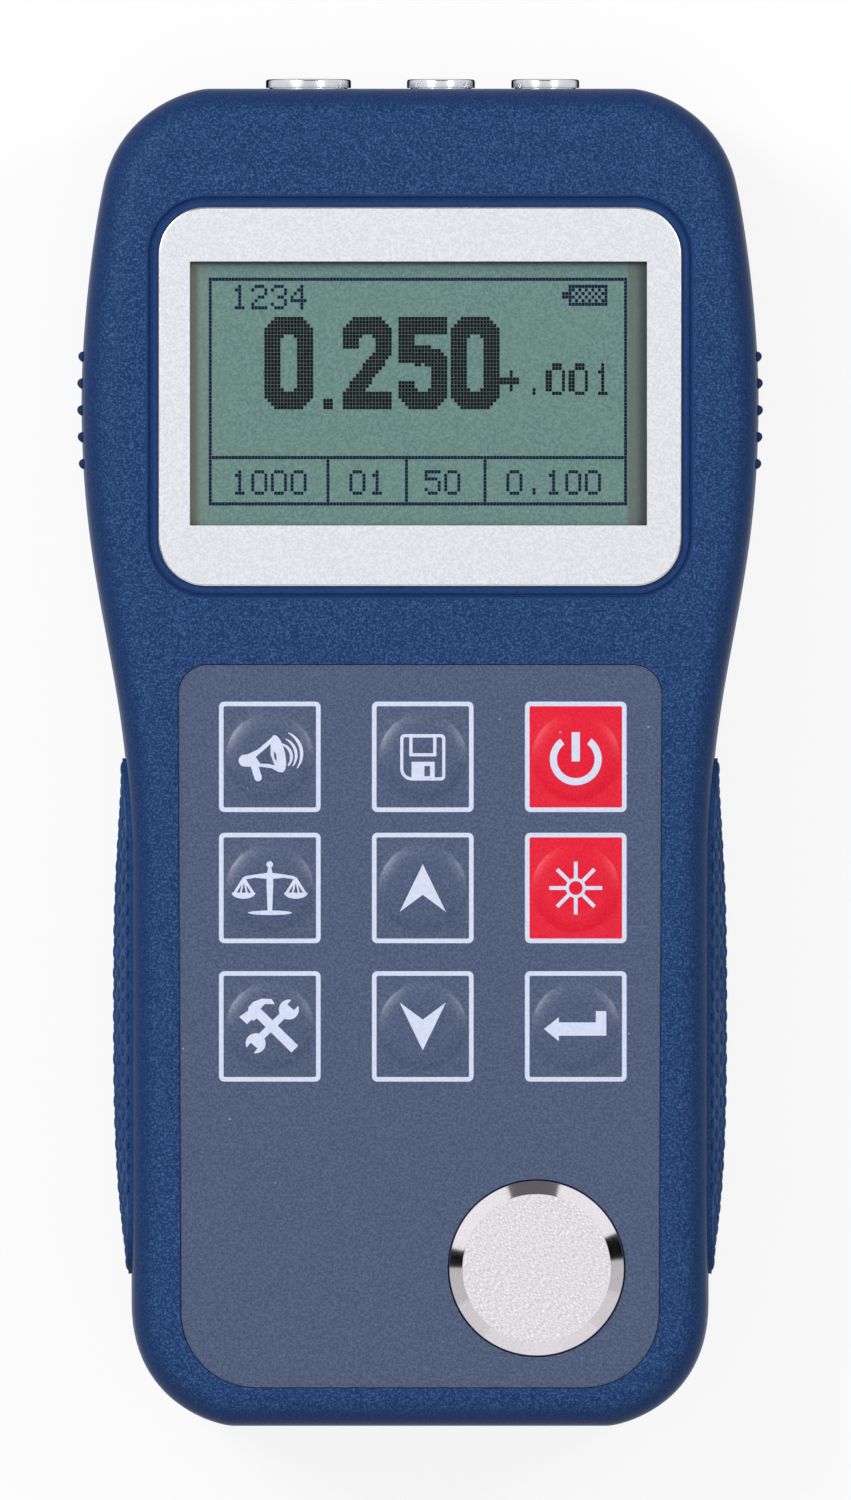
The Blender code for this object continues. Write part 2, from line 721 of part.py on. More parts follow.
def front_shell(plastic):
    """Make the front shell with its pockets, bosses and socket notches."""
    shell = case_form("front_shell")
    join(shell, side_ribs("front_ribs"))
    cut(shell, half_space("below_split", -BEYOND, SPLIT_TOP))
    cut(shell, inner_form("front_cavity", WALL, -BEYOND, HANDLE_CEILING))
    head_low = KEYPAD_TOP_Y + 2 * WALL
    head_high = TOP_Y - CASE_TOP_DROP + CASE_SCREW_RADIUS
    ceiling = rectangle(0.0, (head_low + head_high) / 2, 2 * (SHOULDER_HALF - 2 * WALL),
                        head_high - head_low, 3 * WALL)
    cut(shell, flat_solid("head_ceiling", [ceiling], HANDLE_CEILING - WALL, HEAD_CEILING))
    case_posts = rods("front_case_posts", case_screw_places(), CASE_SCREW_RADIUS + BOSS_WALL,
                      SPLIT_TOP, HEAD_CEILING + OVERRUN, POST_SIDES)
    board_posts = rods("front_board_posts", board_screw_places(),
                       BOARD_SCREW_RADIUS + BOSS_WALL, BOARD_TOP + GAP,
                       HEAD_CEILING + OVERRUN, POST_SIDES)
    join(shell, case_posts, board_posts)
    cut(shell, surround("bezel_surround"))
    cut(shell, flat_solid("bezel_pocket", [bezel_outline(GAP)], LENS_LOW - GAP,
                          BODY_DEPTH + WALL))
    cut(shell, flat_solid("display_opening", [frame_outline(GAP)], HEAD_CEILING - WALL,
                          BODY_DEPTH))
    cut(shell, flat_solid("keypad_recess", [keypad_outline(GAP)], RECESS_FLOOR,
                          BODY_DEPTH + WALL))
    tail_y = KEYPAD_TOP_Y - TAIL_DROP
    cut(shell, box("tail_slot", (-TAIL_WIDTH / 2 - GAP, tail_y - 3 * GAP, HANDLE_CEILING - WALL),
                   (TAIL_WIDTH / 2 + GAP, tail_y + 3 * GAP, RECESS_FLOOR + GAP)))
    cut(shell, rods("stub_hole", [(DISC_X, DISC_Y)], DISC_STUB_RADIUS + GAP,
                    HANDLE_CEILING - WALL, BODY_DEPTH))
    pilot = CASE_SEAT_HEIGHT + CASE_SCREW_LENGTH + 2 * GAP
    cut(shell, rods("case_pilots", case_screw_places(), CASE_SCREW_RADIUS + GAP, 0.0, pilot,
                    HOLE_SIDES))
    pilot = BOARD_TOP + BOARD_SCREW_LENGTH
    cut(shell, rods("board_pilots", board_screw_places(), BOARD_SCREW_RADIUS + GAP, BOARD_LOW,
                    pilot, HOLE_SIDES))
    cut(shell, socket_holes("front_socket_notches"))
    for side, name in ((-1, "front_grip_pocket_left"), (1, "front_grip_pocket_right")):
        cut(shell, grip_recess(name, side))
    rebate_inset = WALL - TONGUE_THICK - GAP
    cut(shell, lip_ring("front_rebate", rebate_inset, WALL + WALL, 0.0,
                        SPLIT_HEIGHT + TONGUE_HEIGHT + GAP))
    return finish(shell, plastic)


def door_outline(grow=0.0):
    """Return the door's outline, run on past the foot of the case."""
    a = DOOR_HALF + grow
    top = DOOR_TOP_Y + grow
    foot = FOOT_Y - BEYOND
    radii = [DOOR_CORNER] * 2 + [DOOR_CORNER + grow] * 2
    return rounded([(-a, foot), (a, foot), (a, top), (-a, top)], radii)


def rear_shell(plastic):
    """Make the rear shell with its cell bay, door track and screw seats."""
    shell = case_form("rear_shell")
    join(shell, side_ribs("rear_ribs"))
    cut(shell, half_space("above_split", SPLIT_LOW, BODY_DEPTH + 2 * BEYOND))
    cut(shell, inner_form("rear_cavity", WALL, BACK_WALL, BODY_DEPTH + BEYOND))
    track_ceiling = DOOR_THICK + GAP
    deck_half = DOOR_HALF + TONGUE_REACH + GAP + WALL
    join(shell, box("door_deck", (-deck_half, FOOT_Y + EDGE_RADIUS / 2, BACK_WALL / 2),
                    (deck_half, DOOR_TOP_Y + WALL, track_ceiling + DECK_THICK)))
    join(shell, box("cell_bay_block",
                    (-BAY_HALF - BAY_WALL, FOOT_Y + WALL, track_ceiling),
                    (BAY_HALF + BAY_WALL, BAY_TOP_Y + BAY_WALL, BAY_CEILING + BAY_WALL)))
    post_radius = CASE_SCREW_HEAD_RADIUS + GAP + BOSS_WALL / 2
    join(shell, rods("rear_posts", case_screw_places(), post_radius, BACK_WALL / 2,
                     SPLIT_LOW, POST_SIDES))
    cut(shell, box("cell_bay", (-BAY_HALF, BAY_FOOT_Y, -BEYOND),
                   (BAY_HALF, BAY_TOP_Y, BAY_CEILING)))
    cut(shell, flat_solid("door_pocket", [door_outline(GAP)], -BEYOND, track_ceiling))
    rail_reach = DOOR_HALF + TONGUE_REACH + GAP
    cut(shell, box("door_rails", (-rail_reach, FOOT_Y - BEYOND, DOOR_THICK - RAIL_THICK - GAP),
                   (rail_reach, RAIL_TOP_Y + GAP, track_ceiling - RAIL_STEP)))
    cut(shell, rods("screw_seats", case_screw_places(), CASE_SCREW_HEAD_RADIUS + GAP, -BEYOND,
                    CASE_SEAT_HEIGHT))
    cut(shell, rods("screw_holes", case_screw_places(), CASE_SCREW_RADIUS + GAP, -BEYOND,
                    BODY_DEPTH, HOLE_SIDES))
    cut(shell, socket_holes("rear_socket_notches"))
    for side, name in ((-1, "rear_grip_pocket_left"), (1, "rear_grip_pocket_right")):
        cut(shell, grip_recess(name, side))
    tongue = lip_ring("rear_tongue", WALL - TONGUE_THICK, WALL + TONGUE_STEP,
                      SPLIT_HEIGHT - 2 * TONGUE_HEIGHT, SPLIT_HEIGHT + TONGUE_HEIGHT)
    cut(tongue, socket_holes("tongue_socket_notches"))
    join(shell, tongue)
    return finish(shell, plastic)


def battery_door(plastic):
    """Make the sliding door, cut from the same form as the case it closes."""
    door = case_form("battery_door")
    combine(door, flat_solid("door_blank", [door_outline()], -BEYOND, DOOR_THICK), 'INTERSECT')
    reach = DOOR_HALF + TONGUE_REACH
    join(door, box("door_tongues", (-reach, FOOT_Y + EDGE_RADIUS, DOOR_THICK - RAIL_THICK),
                   (reach, RAIL_TOP_Y, DOOR_THICK - RAIL_STEP)))
    for i in range(THUMB_GROOVES):
        y = DOOR_TOP_Y - 4 * THUMB_PITCH - i * THUMB_PITCH
        cut(door, box(f"thumb_groove_{i + 1}", (-THUMB_WIDTH / 2, y - THUMB_PITCH / 4, -WALL),
                      (THUMB_WIDTH / 2, y + THUMB_PITCH / 4, THUMB_DEPTH)))
    return finish(door, plastic)


def display(metal, clear, glass, tin, light):
    """Make the bezel, the clear window and the display behind them."""
    rings = [at_height(bezel_outline(), BEZEL_LOW),
             at_height(bezel_outline(), BEZEL_TOP - BEZEL_CHAMFER),
             at_height(bezel_outline(-BEZEL_CHAMFER), BEZEL_TOP)]
    bezel = loft("display_bezel", rings)
    cut(bezel, flat_solid("bezel_window", [window_outline()], BEZEL_LOW - WALL,
                          BEZEL_TOP + WALL))
    finish(bezel, metal)
    lens = flat_solid("display_lens", [bezel_outline()], LENS_LOW, LENS_TOP)
    finish(lens, clear)
    frame = flat_solid("display_frame", [frame_outline()], BOARD_TOP + GAP, FRAME_TOP)
    cut(frame, flat_solid("frame_inside", [frame_outline(-FRAME_WALL)], BOARD_TOP - WALL,
                          FRAME_TOP - FRAME_LIP))
    cut(frame, flat_solid("frame_view", [window_outline(2 * GAP)], BOARD_TOP,
                          FRAME_TOP + WALL))
    finish(frame, tin)
    inner = [frame_outline(-FRAME_WALL - GAP)]
    pane = flat_solid("display_glass", inner, GLASS_TOP - GLASS_THICK, GLASS_TOP)
    finish(pane, glass)
    block = flat_solid("display_backlight", inner, BOARD_TOP + GAP,
                       GLASS_TOP - GLASS_THICK - GAP)
    finish(block, light)


def keypad(film, spacer_film, steel):
    """Make the overlay film, the spacer and the sheet of snap domes."""
    holes = [circle(x, y, KEY_RADIUS + GAP, KEY_SIDES) for _, x, y in key_places()]
    disc_hole = circle(DISC_X, DISC_Y, DISC_RADIUS + GAP, DISC_SIDES)
    overlay = flat_solid("keypad_overlay", [keypad_outline()] + holes + [disc_hole],
                         OVERLAY_LOW, OVERLAY_TOP)
    finish(overlay, film)
    spacer = flat_solid("keypad_spacer", [keypad_outline()] + holes + [disc_hole],
                        SPACER_LOW, SPACER_TOP)
    finish(spacer, spacer_film)
    sheet = flat_solid("dome_sheet", [keypad_outline(), disc_hole], SHEET_LOW, SHEET_TOP)
    for name, x, y in key_places():
        profile = [(DOME_RADIUS * math.sin(a), DOME_HEIGHT * math.cos(a)) for a in DOME_ANGLES]
        profile += [(DOME_RADIUS, -SHEET_THICK / 2), (0.0, -SHEET_THICK / 2)]
        join(sheet, turned(name + "_dome", profile, (x, y, SHEET_TOP), 0.0, POST_SIDES))
    finish(sheet, steel)


def keys(film, red_film):
    """Make the nine key pillows, each with its origin on its own axis."""
    low = SHEET_TOP + DOME_HEIGHT + KEY_TRAVEL + KEY_CLEARANCE
    top = OVERLAY_TOP + KEY_PROUD
    for name, x, y in key_places():
        profile = [(0.0, top - low)]
        for k in range(KEY_EDGE_STEPS + 1):
            a = math.pi / 2 * k / KEY_EDGE_STEPS
            profile.append((KEY_RADIUS - KEY_EDGE * (1 - math.sin(a)),
                            top - low - KEY_PROUD * (1 - math.cos(a))))
        profile += [(KEY_RADIUS, 0.0), (0.0, 0.0)]
        pillow = turned(name, profile, (x, y, low), 0.0, KEY_SIDES)
        finish(pillow, red_film if name in RED_KEYS else film)


def zero_disc(steel, spring_steel):
    """Make the steel reference block and the ring that holds its stub."""
    top = BODY_DEPTH + DISC_PROUD
    low = RECESS_FLOOR + GAP
    stub_end = RECESS_FLOOR - DISC_STUB_LENGTH
    profile = [(0.0, top), (DISC_FACE_RADIUS, top), (DISC_RADIUS, top - DISC_CHAMFER_DEPTH),
               (DISC_RADIUS, low), (DISC_STUB_RADIUS, low), (DISC_STUB_RADIUS, stub_end),
               (0.0, stub_end)]
    disc = turned("zero_disc", profile, (DISC_X, DISC_Y, 0.0), 0.0, DISC_SIDES)
    finish(disc, steel)
    ring_top = HANDLE_CEILING - GAP
    loops = [circle(DISC_X, DISC_Y, RETAINER_RADIUS),
             circle(DISC_X, DISC_Y, DISC_STUB_RADIUS + GAP)]
    ring = flat_solid("disc_retainer", loops, ring_top - RETAINER_THICK, ring_top)
    finish(ring, spring_steel)


def sockets(nickel, insulator, steel):
    """Make each round socket, its insert with the contact pin, and its nut."""
    lying = -math.pi / 2
    for name, x, radius in SOCKETS:
        neck = radius - SOCKET_NECK
        bore = neck - SOCKET_WALL
        flange = SOCKET_PROUD - GAP
        rim = flange * SOCKET_RIM_SHARE
        profile = [(0.0, 0.0)]
        profile += [(radius - rim * (1 - math.sin(a)), -rim * (1 - math.cos(a)))
                    for a in (0.0, math.pi / 4, math.pi / 2)]
        profile += [(radius, -flange), (neck, -flange), (neck, -SOCKET_LENGTH),
                    (0.0, -SOCKET_LENGTH)]
        place = (x, TOP_Y + SOCKET_PROUD, SOCKET_Z)
        body = turned(name, profile, place, lying, KEY_SIDES)
        well = [(0.0, OVERRUN), (bore + SOCKET_MOUTH + OVERRUN, OVERRUN),
                (bore, -SOCKET_MOUTH), (bore, -SOCKET_BORE_DEPTH), (0.0, -SOCKET_BORE_DEPTH)]
        cut(body, turned(name + "_bore", well, place, lying, KEY_SIDES))
        finish(body, nickel)
        insert_top = SOCKET_INSERT_THICK + SOCKET_PIN_LENGTH
        insert = [(0.0, insert_top), (SOCKET_PIN_RADIUS, insert_top),
                  (SOCKET_PIN_RADIUS, SOCKET_INSERT_THICK),
                  (bore - GAP, SOCKET_INSERT_THICK), (bore - GAP, 0.0), (0.0, 0.0)]
        seat_y = TOP_Y + SOCKET_PROUD - SOCKET_BORE_DEPTH + GAP
        plug = turned(name + "_insert", insert, (x, seat_y, SOCKET_Z), lying, HOLE_SIDES)
        finish(plug, insulator)
        wall_y = TOP_Y - WALL - GAP
        hexagon = circle(x, SOCKET_Z, (neck + NUT_RIM) / math.cos(math.pi / 6), 6)
        loops = [hexagon, circle(x, SOCKET_Z, neck + SOCKET_CLEARANCE, KEY_SIDES)]
        nut = flat_solid(name + "_nut", loops, -wall_y, -wall_y + NUT_THICK, ALONG_Y)
        finish(nut, steel)


def main_board(green, black, film):
    """Make the board, what is soldered under it, and the keypad's flat tail."""
    top = TOP_Y - BOARD_TOP_DROP
    shoulder = TOP_Y - BOARD_SHOULDER_DROP
    waist = TOP_Y - BOARD_WAIST_DROP
    tail = top - BOARD_LENGTH
    corners = [(BOARD_TAIL_HALF, tail), (BOARD_TAIL_HALF, waist), (BOARD_HALF, waist + WALL),
               (BOARD_HALF, shoulder), (BOARD_NECK_HALF, shoulder), (BOARD_NECK_HALF, top)]
    loop = corners + [(-x, y) for x, y in reversed(corners)]
    holes = [circle(x, y, BOARD_SCREW_RADIUS + GAP, POST_SIDES) for x, y in board_screw_places()]
    board = flat_solid("main_board", [loop] + holes, BOARD_LOW, BOARD_TOP)
    finish(board, green)
    under = BOARD_LOW - GAP
    for name, x, drop, width, length, thick in CHIPS:
        loop = rectangle(x, TOP_Y - drop, width, length, GAP, 0.0, 2)
        finish(flat_solid(name, [loop], under - thick, under), black)
    buzzer = rods("buzzer", [(BOARD_TAIL_HALF - 2 * BUZZER_RADIUS, waist - 2 * BUZZER_RADIUS)],
                  BUZZER_RADIUS, under - BUZZER_HEIGHT, under)
    finish(buzzer, black)
    tail_y = KEYPAD_TOP_Y - TAIL_DROP
    half = TAIL_THICK / 2
    high = SHEET_LOW - GAP
    low = BOARD_TOP + GAP
    bend = (high - low) / 3
    middle = [(tail_y, high), (tail_y, high - bend), (tail_y + bend / 2, low + bend),
              (tail_y + bend, low + half), (tail_y + 3 * bend, low + half)]
    left = []
    right = []
    for i, here in enumerate(middle):
        ahead = Vector(middle[min(i + 1, len(middle) - 1)]) - Vector(middle[max(i - 1, 0)])
        across = Vector((-ahead.y, ahead.x)).normalized() * half
        left.append(tuple(Vector(here) + across))
        right.append(tuple(Vector(here) - across))
    strip = flat_solid("keypad_tail", [left + right[::-1]], -TAIL_WIDTH / 2, TAIL_WIDTH / 2,
                       ON_SIDE)
    finish(strip, film)


def screw_mesh(name, head_radius, head, radius, length, steel):
    """Return a cross-head screw that points up from under its head."""
    profile = [(0.0, length), (radius, length - radius), (radius, 0.0), (head_radius, 0.0),
               (head_radius, -head * 0.6), (head_radius * 0.7, -head), (0.0, -head)]
    screw = turned(name, profile, (0.0, 0.0, 0.0), 0.0, HOLE_SIDES)
    long = head_radius * 0.6
    half = CROSS_WIDTH / 2
    for k, (a, b) in enumerate(((long, half), (half, long))):
        cut(screw, box(f"{name}_slot_{k + 1}", (-a, -b, -head - OVERRUN),
                       (a, b, -head + CROSS_DEPTH)))
    mesh = plain_mesh_of(screw)
    holder = bpy.data.objects.new("holder", mesh)
    finish(holder, steel)
    bpy.data.objects.remove(holder)
    return mesh


def plain_mesh_of(piece):
    """Evaluate a piece with its tools, then remove the piece and the tools."""
    tools = [step.object for step in piece.modifiers if step.type == 'BOOLEAN']
    bpy.context.view_layer.update()
    mesh = plain_mesh(piece)
    for tool in tools:
        bpy.data.objects.remove(tool, do_unlink=True)
    return mesh


def screws(steel):
    """Place the four case screws and the four board screws."""
    case = screw_mesh("case_screw", CASE_SCREW_HEAD_RADIUS, CASE_SCREW_HEAD,
                      CASE_SCREW_RADIUS, CASE_SCREW_LENGTH, steel)
    small = screw_mesh("board_screw", BOARD_SCREW_HEAD_RADIUS, BOARD_SCREW_HEAD,
                       BOARD_SCREW_RADIUS, BOARD_SCREW_LENGTH, steel)
    for i, (x, y) in enumerate(case_screw_places()):
        add_object(f"case_screw_{i + 1}", case).location = (x, y, CASE_SEAT_HEIGHT - GAP)
    for i, (x, y) in enumerate(board_screw_places()):
        add_object(f"board_screw_{i + 1}", small).location = (x, y, BOARD_LOW - GAP)


def cell(name, x, minus_end, towards, wrap):
    """Make one round cell, with its nub towards the given end."""
    body = CELL_LENGTH - CELL_NUB_LENGTH
    profile = [(0.0, CELL_LENGTH), (CELL_NUB_RADIUS, CELL_LENGTH), (CELL_NUB_RADIUS, body),
               (CELL_RADIUS - CELL_BEVEL, body), (CELL_RADIUS, body - CELL_BEVEL),
               (CELL_RADIUS, CELL_BEVEL), (CELL_RADIUS - CELL_BEVEL, 0.0), (0.0, 0.0)]
    lean = -math.pi / 2 if towards > 0 else math.pi / 2
    return finish(turned(name, profile, (x, minus_end, CELL_Z), lean, KEY_SIDES), wrap)


def coil_spring(name, x, start, steel):
    """Make one compression spring, its axis along Y."""
    curve = bpy.data.curves.new(name, 'CURVE')
    curve.dimensions = '3D'
    curve.bevel_depth = SPRING_WIRE
    curve.bevel_resolution = 1
    curve.use_fill_caps = True
    count = SPRING_TURNS * SPRING_STEPS + 1
    spline = curve.splines.new('POLY')
    spline.points.add(count - 1)
    rise = SPRING_LENGTH - 2 * SPRING_WIRE
    for i, point in enumerate(spline.points):
        along = i / (count - 1)
        angle = math.tau * SPRING_TURNS * along
        point.co = (x + SPRING_RADIUS * math.cos(angle), start + SPRING_WIRE + rise * along,
                    CELL_Z + SPRING_RADIUS * math.sin(angle), 1.0)
    holder = add_object(name, curve)
    bpy.context.view_layer.update()
    mesh = plain_mesh(holder)
    shape = bmesh.new()
    shape.from_mesh(mesh)
    bmesh.ops.remove_doubles(shape, verts=shape.verts, dist=1e-6)
    shape.to_mesh(mesh)
    shape.free()
    return finish(add_object(name, mesh), steel, 60.0)


def cells_and_contacts(wrap, steel):
    """Place the two cells between their springs and contact plates."""
    left = -CELL_SPACING / 2
    right = CELL_SPACING / 2
    foot_plate = BAY_FOOT_Y + GAP
    top_plate = BAY_TOP_Y - GAP - PLATE_THICK
    half = PLATE_WIDTH / 2
    low = CELL_Z - PLATE_HEIGHT / 2
    high = CELL_Z + PLATE_HEIGHT / 2
    finish(box("bridge_contact", (left - half, foot_plate, low),
               (right + half, foot_plate + PLATE_THICK, high)), steel)
    finish(box("plus_contact", (left - half, top_plate, low),
               (left + half, top_plate + PLATE_THICK, high)), steel)
    finish(box("minus_contact", (right - half, top_plate, low),
               (right + half, top_plate + PLATE_THICK, high)), steel)
    foot_spring = foot_plate + PLATE_THICK + GAP
    top_spring = top_plate - GAP - SPRING_LENGTH
    coil_spring("foot_spring", left, foot_spring, steel)
    coil_spring("top_spring", right, top_spring, steel)
    cell("battery_left", left, foot_spring + SPRING_LENGTH + GAP, 1, wrap)
    cell("battery_right", right, top_spring - GAP, -1, wrap)


def build():
    """Make every piece of the gauge."""
    blue = material("blue_plastic", (0.022, 0.068, 0.21), 0.55)
    rubber = material("grip_rubber", (0.018, 0.055, 0.17), 0.75)
    silver = material("satin_silver", (0.78, 0.79, 0.83), 0.45, 0.3)
    clear = material("clear_window", (0.9, 0.93, 0.93), 0.05)
    liquid = material("display_green", (0.21, 0.34, 0.27), 0.2)
    tin = material("tinned_steel", (0.6, 0.6, 0.62), 0.35, 1.0)
    light = material("light_guide", (0.85, 0.88, 0.8), 0.5)
    film = material("grey_film", (0.085, 0.107, 0.18), 0.45)
    red_film = material("red_film", (0.85, 0.012, 0.03), 0.45)
    spacer_film = material("spacer_film", (0.75, 0.72, 0.6), 0.6)
    steel = material("ground_steel", (0.74, 0.73, 0.74), 0.3, 1.0)
    nickel = material("nickel_plate", (0.7, 0.69, 0.66), 0.2, 1.0)
    insulator = material("insulator", (0.8, 0.78, 0.72), 0.5)
    green = material("board_green", (0.02, 0.16, 0.06), 0.4)
    black = material("black_plastic", (0.02, 0.02, 0.022), 0.5)
    wrap = material("cell_wrap", (0.03, 0.03, 0.035), 0.3)
    front_shell(blue)
    rear_shell(blue)
    grip("grip_left", -1, rubber)
    grip("grip_right", 1, rubber)
    display(silver, clear, liquid, tin, light)
    keypad(film, spacer_film, steel)
    keys(film, red_film)
    zero_disc(steel, tin)
    sockets(nickel, insulator, nickel)
    main_board(green, black, film)
    screws(steel)
    cells_and_contacts(wrap, tin)
    battery_door(blue)


build()
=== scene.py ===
"""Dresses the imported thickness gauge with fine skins, prints, materials, light and a camera.

Metres, +Z up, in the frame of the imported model: the gauge lies on its back, foot towards -Y.
"""
import math

import bmesh
import bpy
import numpy as np
from mathutils import Matrix, Vector
from mathutils.bvhtree import BVHTree
from mathutils.geometry import interpolate_bezier


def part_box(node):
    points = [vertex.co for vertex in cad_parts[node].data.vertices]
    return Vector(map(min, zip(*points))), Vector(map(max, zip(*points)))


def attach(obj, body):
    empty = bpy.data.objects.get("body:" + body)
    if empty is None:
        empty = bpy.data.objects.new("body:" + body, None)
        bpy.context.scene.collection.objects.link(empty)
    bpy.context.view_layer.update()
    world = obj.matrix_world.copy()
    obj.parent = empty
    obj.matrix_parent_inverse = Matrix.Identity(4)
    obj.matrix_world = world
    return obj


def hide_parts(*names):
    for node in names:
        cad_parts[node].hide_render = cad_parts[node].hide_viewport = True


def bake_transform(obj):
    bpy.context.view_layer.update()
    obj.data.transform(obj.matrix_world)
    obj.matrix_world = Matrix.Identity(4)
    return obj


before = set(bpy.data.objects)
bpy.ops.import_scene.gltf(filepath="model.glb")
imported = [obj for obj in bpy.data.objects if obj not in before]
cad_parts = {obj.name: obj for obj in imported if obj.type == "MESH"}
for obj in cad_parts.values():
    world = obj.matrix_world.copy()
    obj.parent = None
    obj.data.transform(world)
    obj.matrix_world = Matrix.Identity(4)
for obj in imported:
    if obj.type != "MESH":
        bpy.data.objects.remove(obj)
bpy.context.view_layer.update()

MM = 0.001
GAP = 0.3 * MM
OVERRUN = 20 * MM

# Case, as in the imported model
FOOT_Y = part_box("front_shell")[0].y
TOP_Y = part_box("front_shell")[1].y
BODY_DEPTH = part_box("front_shell")[1].z
SPLIT_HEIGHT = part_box("front_shell")[0].z - GAP / 2
WALL = 2.4 * MM
FRONT_WALL = 3.0 * MM
EDGE_RADIUS = 4.0 * MM
DRAFT = 0.4 * MM
HEAD_HALF = 37.32 * MM
SHOULDER_HALF = 34.88 * MM
TOP_CORNER = 11.74 * MM
WAIST_HALF = 31.88 * MM
FOOT_HALF = 31.8 * MM
FOOT_CORNER = 11.25 * MM
SHOULDER_DROP = 10.57 * MM
HEAD_DROP = 34.35 * MM
WAIST_DROP = 86.2 * MM
FOOT_RISE = 13.55 * MM
SHOULDER_LEAN = 0.21
FOOT_PULL = 0.15
HEEL_PULL = 0.83
WAIST_PULL = 0.44
HEAD_PULL = 0.29
SHOULDER_PULL = 0.78
TOP_PULL = 0.21
RIB_COUNT = 5
RIB_PITCH = 2.95 * MM
RIB_RADIUS = 0.55 * MM
RIB_PROUD = 0.42 * MM
RIB_LENGTH = 18.0 * MM
RIB_DROP = 35.5 * MM
TONGUE_HEIGHT = 1.2 * MM
TONGUE_THICK = 0.8 * MM
CAVITY_DROP = 3.75 * MM
BEZEL_POCKET = 2.0 * MM
FILM_RECESS = 2.3 * MM

# Grips
GRIP_SIZE = (56.8 * MM, 20.0 * MM)
GRIP_CORNER = 8.0 * MM
GRIP_SEAT = 0.8 * MM
GRIP_EDGE = 0.3 * MM
GRIP_BULGE = 1.7 * MM
GRIP_FULLNESS = 3
GRIP_RINGS = 24
GRIP_Y = (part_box("grip_left")[0].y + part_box("grip_left")[1].y) / 2
BUMP_PITCH = 2.36 * MM
BUMP_ROW = 2.35 * MM
BUMP_RADIUS = 0.85 * MM
BUMP_PROUD = 0.27 * MM
BUMP_MARGIN = 0.6 * MM
SEAM = 0.08 * MM

# Display
BEZEL_LOW, BEZEL_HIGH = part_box("display_bezel")
BEZEL_Y = (BEZEL_LOW.y + BEZEL_HIGH.y) / 2
BEZEL_SIZE = (57.4 * MM, 41.6 * MM)
BEZEL_CORNER = 5.2 * MM
BEZEL_ROLL = (0.34 * MM, 0.13 * MM)
SURROUND_PROFILE = [(reach * MM, depth * MM) for reach, depth in (
    (0.4, 0.35), (0.6, 0.34), (0.68, 0.27), (0.74, 0.22), (0.80, 0.22), (0.86, 0.28),
    (0.91, 0.42), (0.98, 0.46), (1.06, 0.42), (1.12, 0.22), (1.18, 0.1), (1.28, 0.03),
    (1.42, 0.0), (1.44, -0.4))]
WINDOW_SIZE = (50.2 * MM, 29.0 * MM)
WINDOW_SHIFT = 0.35 * MM
WINDOW_CORNER = 0.1 * MM
FRAME_SIZE = (54.6 * MM, 36.6 * MM)
LENS_SKIN = 0.15 * MM
FACE_DROP = 0.3 * MM
DOT_COLUMNS = 128
DOT_ROWS = 64
DOT_PITCH = (0.3592 * MM, 0.3916 * MM)
DOT_SIZE = (0.327 * MM, 0.357 * MM)
DOTS_X = -23.22 * MM
DOTS_TOP = 52.2 * MM
DOT_LIFT = 0.02 * MM
DIVIDER_ROW = 50
DIVIDER_COLUMNS = (36, 60, 84)
SMALL_NUMBERS = (("1234", 7, 2), ("1000", 7, 54), ("01", 43, 54), ("50", 66, 54),
                 ("0.100", 91, 54))
CELL_SIGN = (range(110, 122), range(2, 8))
FIGURE_SIZE = (15, 26)
FIGURE_STROKE = 5
FIGURE_ROW = 11
FIGURES = (("0", 17), ("2", 41), ("5", 58), ("0", 74))

# Keypad
FILM_LOW, FILM_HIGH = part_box("keypad_overlay")
FILM_TOP = FILM_HIGH.z
FILM_THICK = 0.35 * MM
FILM_FOOT_HALF = 26.2 * MM
FILM_TOP_CORNER = 3.2 * MM
FILM_FOOT_CORNER = 8.3 * MM
KEY_NAMES = ("alarm", "memory", "power", "calibrate", "up", "backlight", "setup", "down", "enter")
RED_KEYS = ("power", "backlight")
KEY_HALF = (5.58 * MM, 6.06 * MM)
KEY_CORNER = 0.58 * MM
OUTLINE_WIDTH = 0.5 * MM
PILLOW_RADIUS = 4.9 * MM
PILLOW_SLOPE = 2.3 * MM
PILLOW_HEIGHT = 0.35 * MM
PILLOW_RINGS = 14
PILLOW_CROWN = 1.3 * MM
PRINT_LIFT = 0.018 * MM
PRINT_EDGE = 0.55
DISC_LOW, DISC_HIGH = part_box("zero_disc")
DISC_X = (DISC_LOW.x + DISC_HIGH.x) / 2
DISC_Y = (DISC_LOW.y + DISC_HIGH.y) / 2
DISC_RADIUS = 9.62 * MM
DISC_FACE_RADIUS = 8.2 * MM
DISC_CHAMFER_DEPTH = 0.9 * MM
DISC_STUB_RADIUS = 4.0 * MM
DISC_SINK = 1.4 * MM
DISC_ROLL = 0.06 * MM

# Sockets
SOCKET_WALL = 0.45 * MM
SOCKET_NECK = 0.4 * MM
SOCKET_CLEARANCE = 0.2 * MM
SOCKET_MOUTH = 0.2 * MM
SOCKET_RIM = 0.25 * MM
SOCKET_LENGTH = 12.0 * MM
SOCKET_BORE_DEPTH = 8.2 * MM
SOCKET_PROUD = 1.0 * MM
INSERT_THICK = 1.6 * MM
PIN_RADIUS = 0.5 * MM
PIN_SHOULDER = 3.6 * MM
PIN_TIP = 4.0 * MM
SOCKETS = (("data_socket", -12.3 * MM, 4.7 * MM),
           ("probe_socket_left", 2.3 * MM, 3.75 * MM),
           ("probe_socket_right", 13.8 * MM, 3.75 * MM))

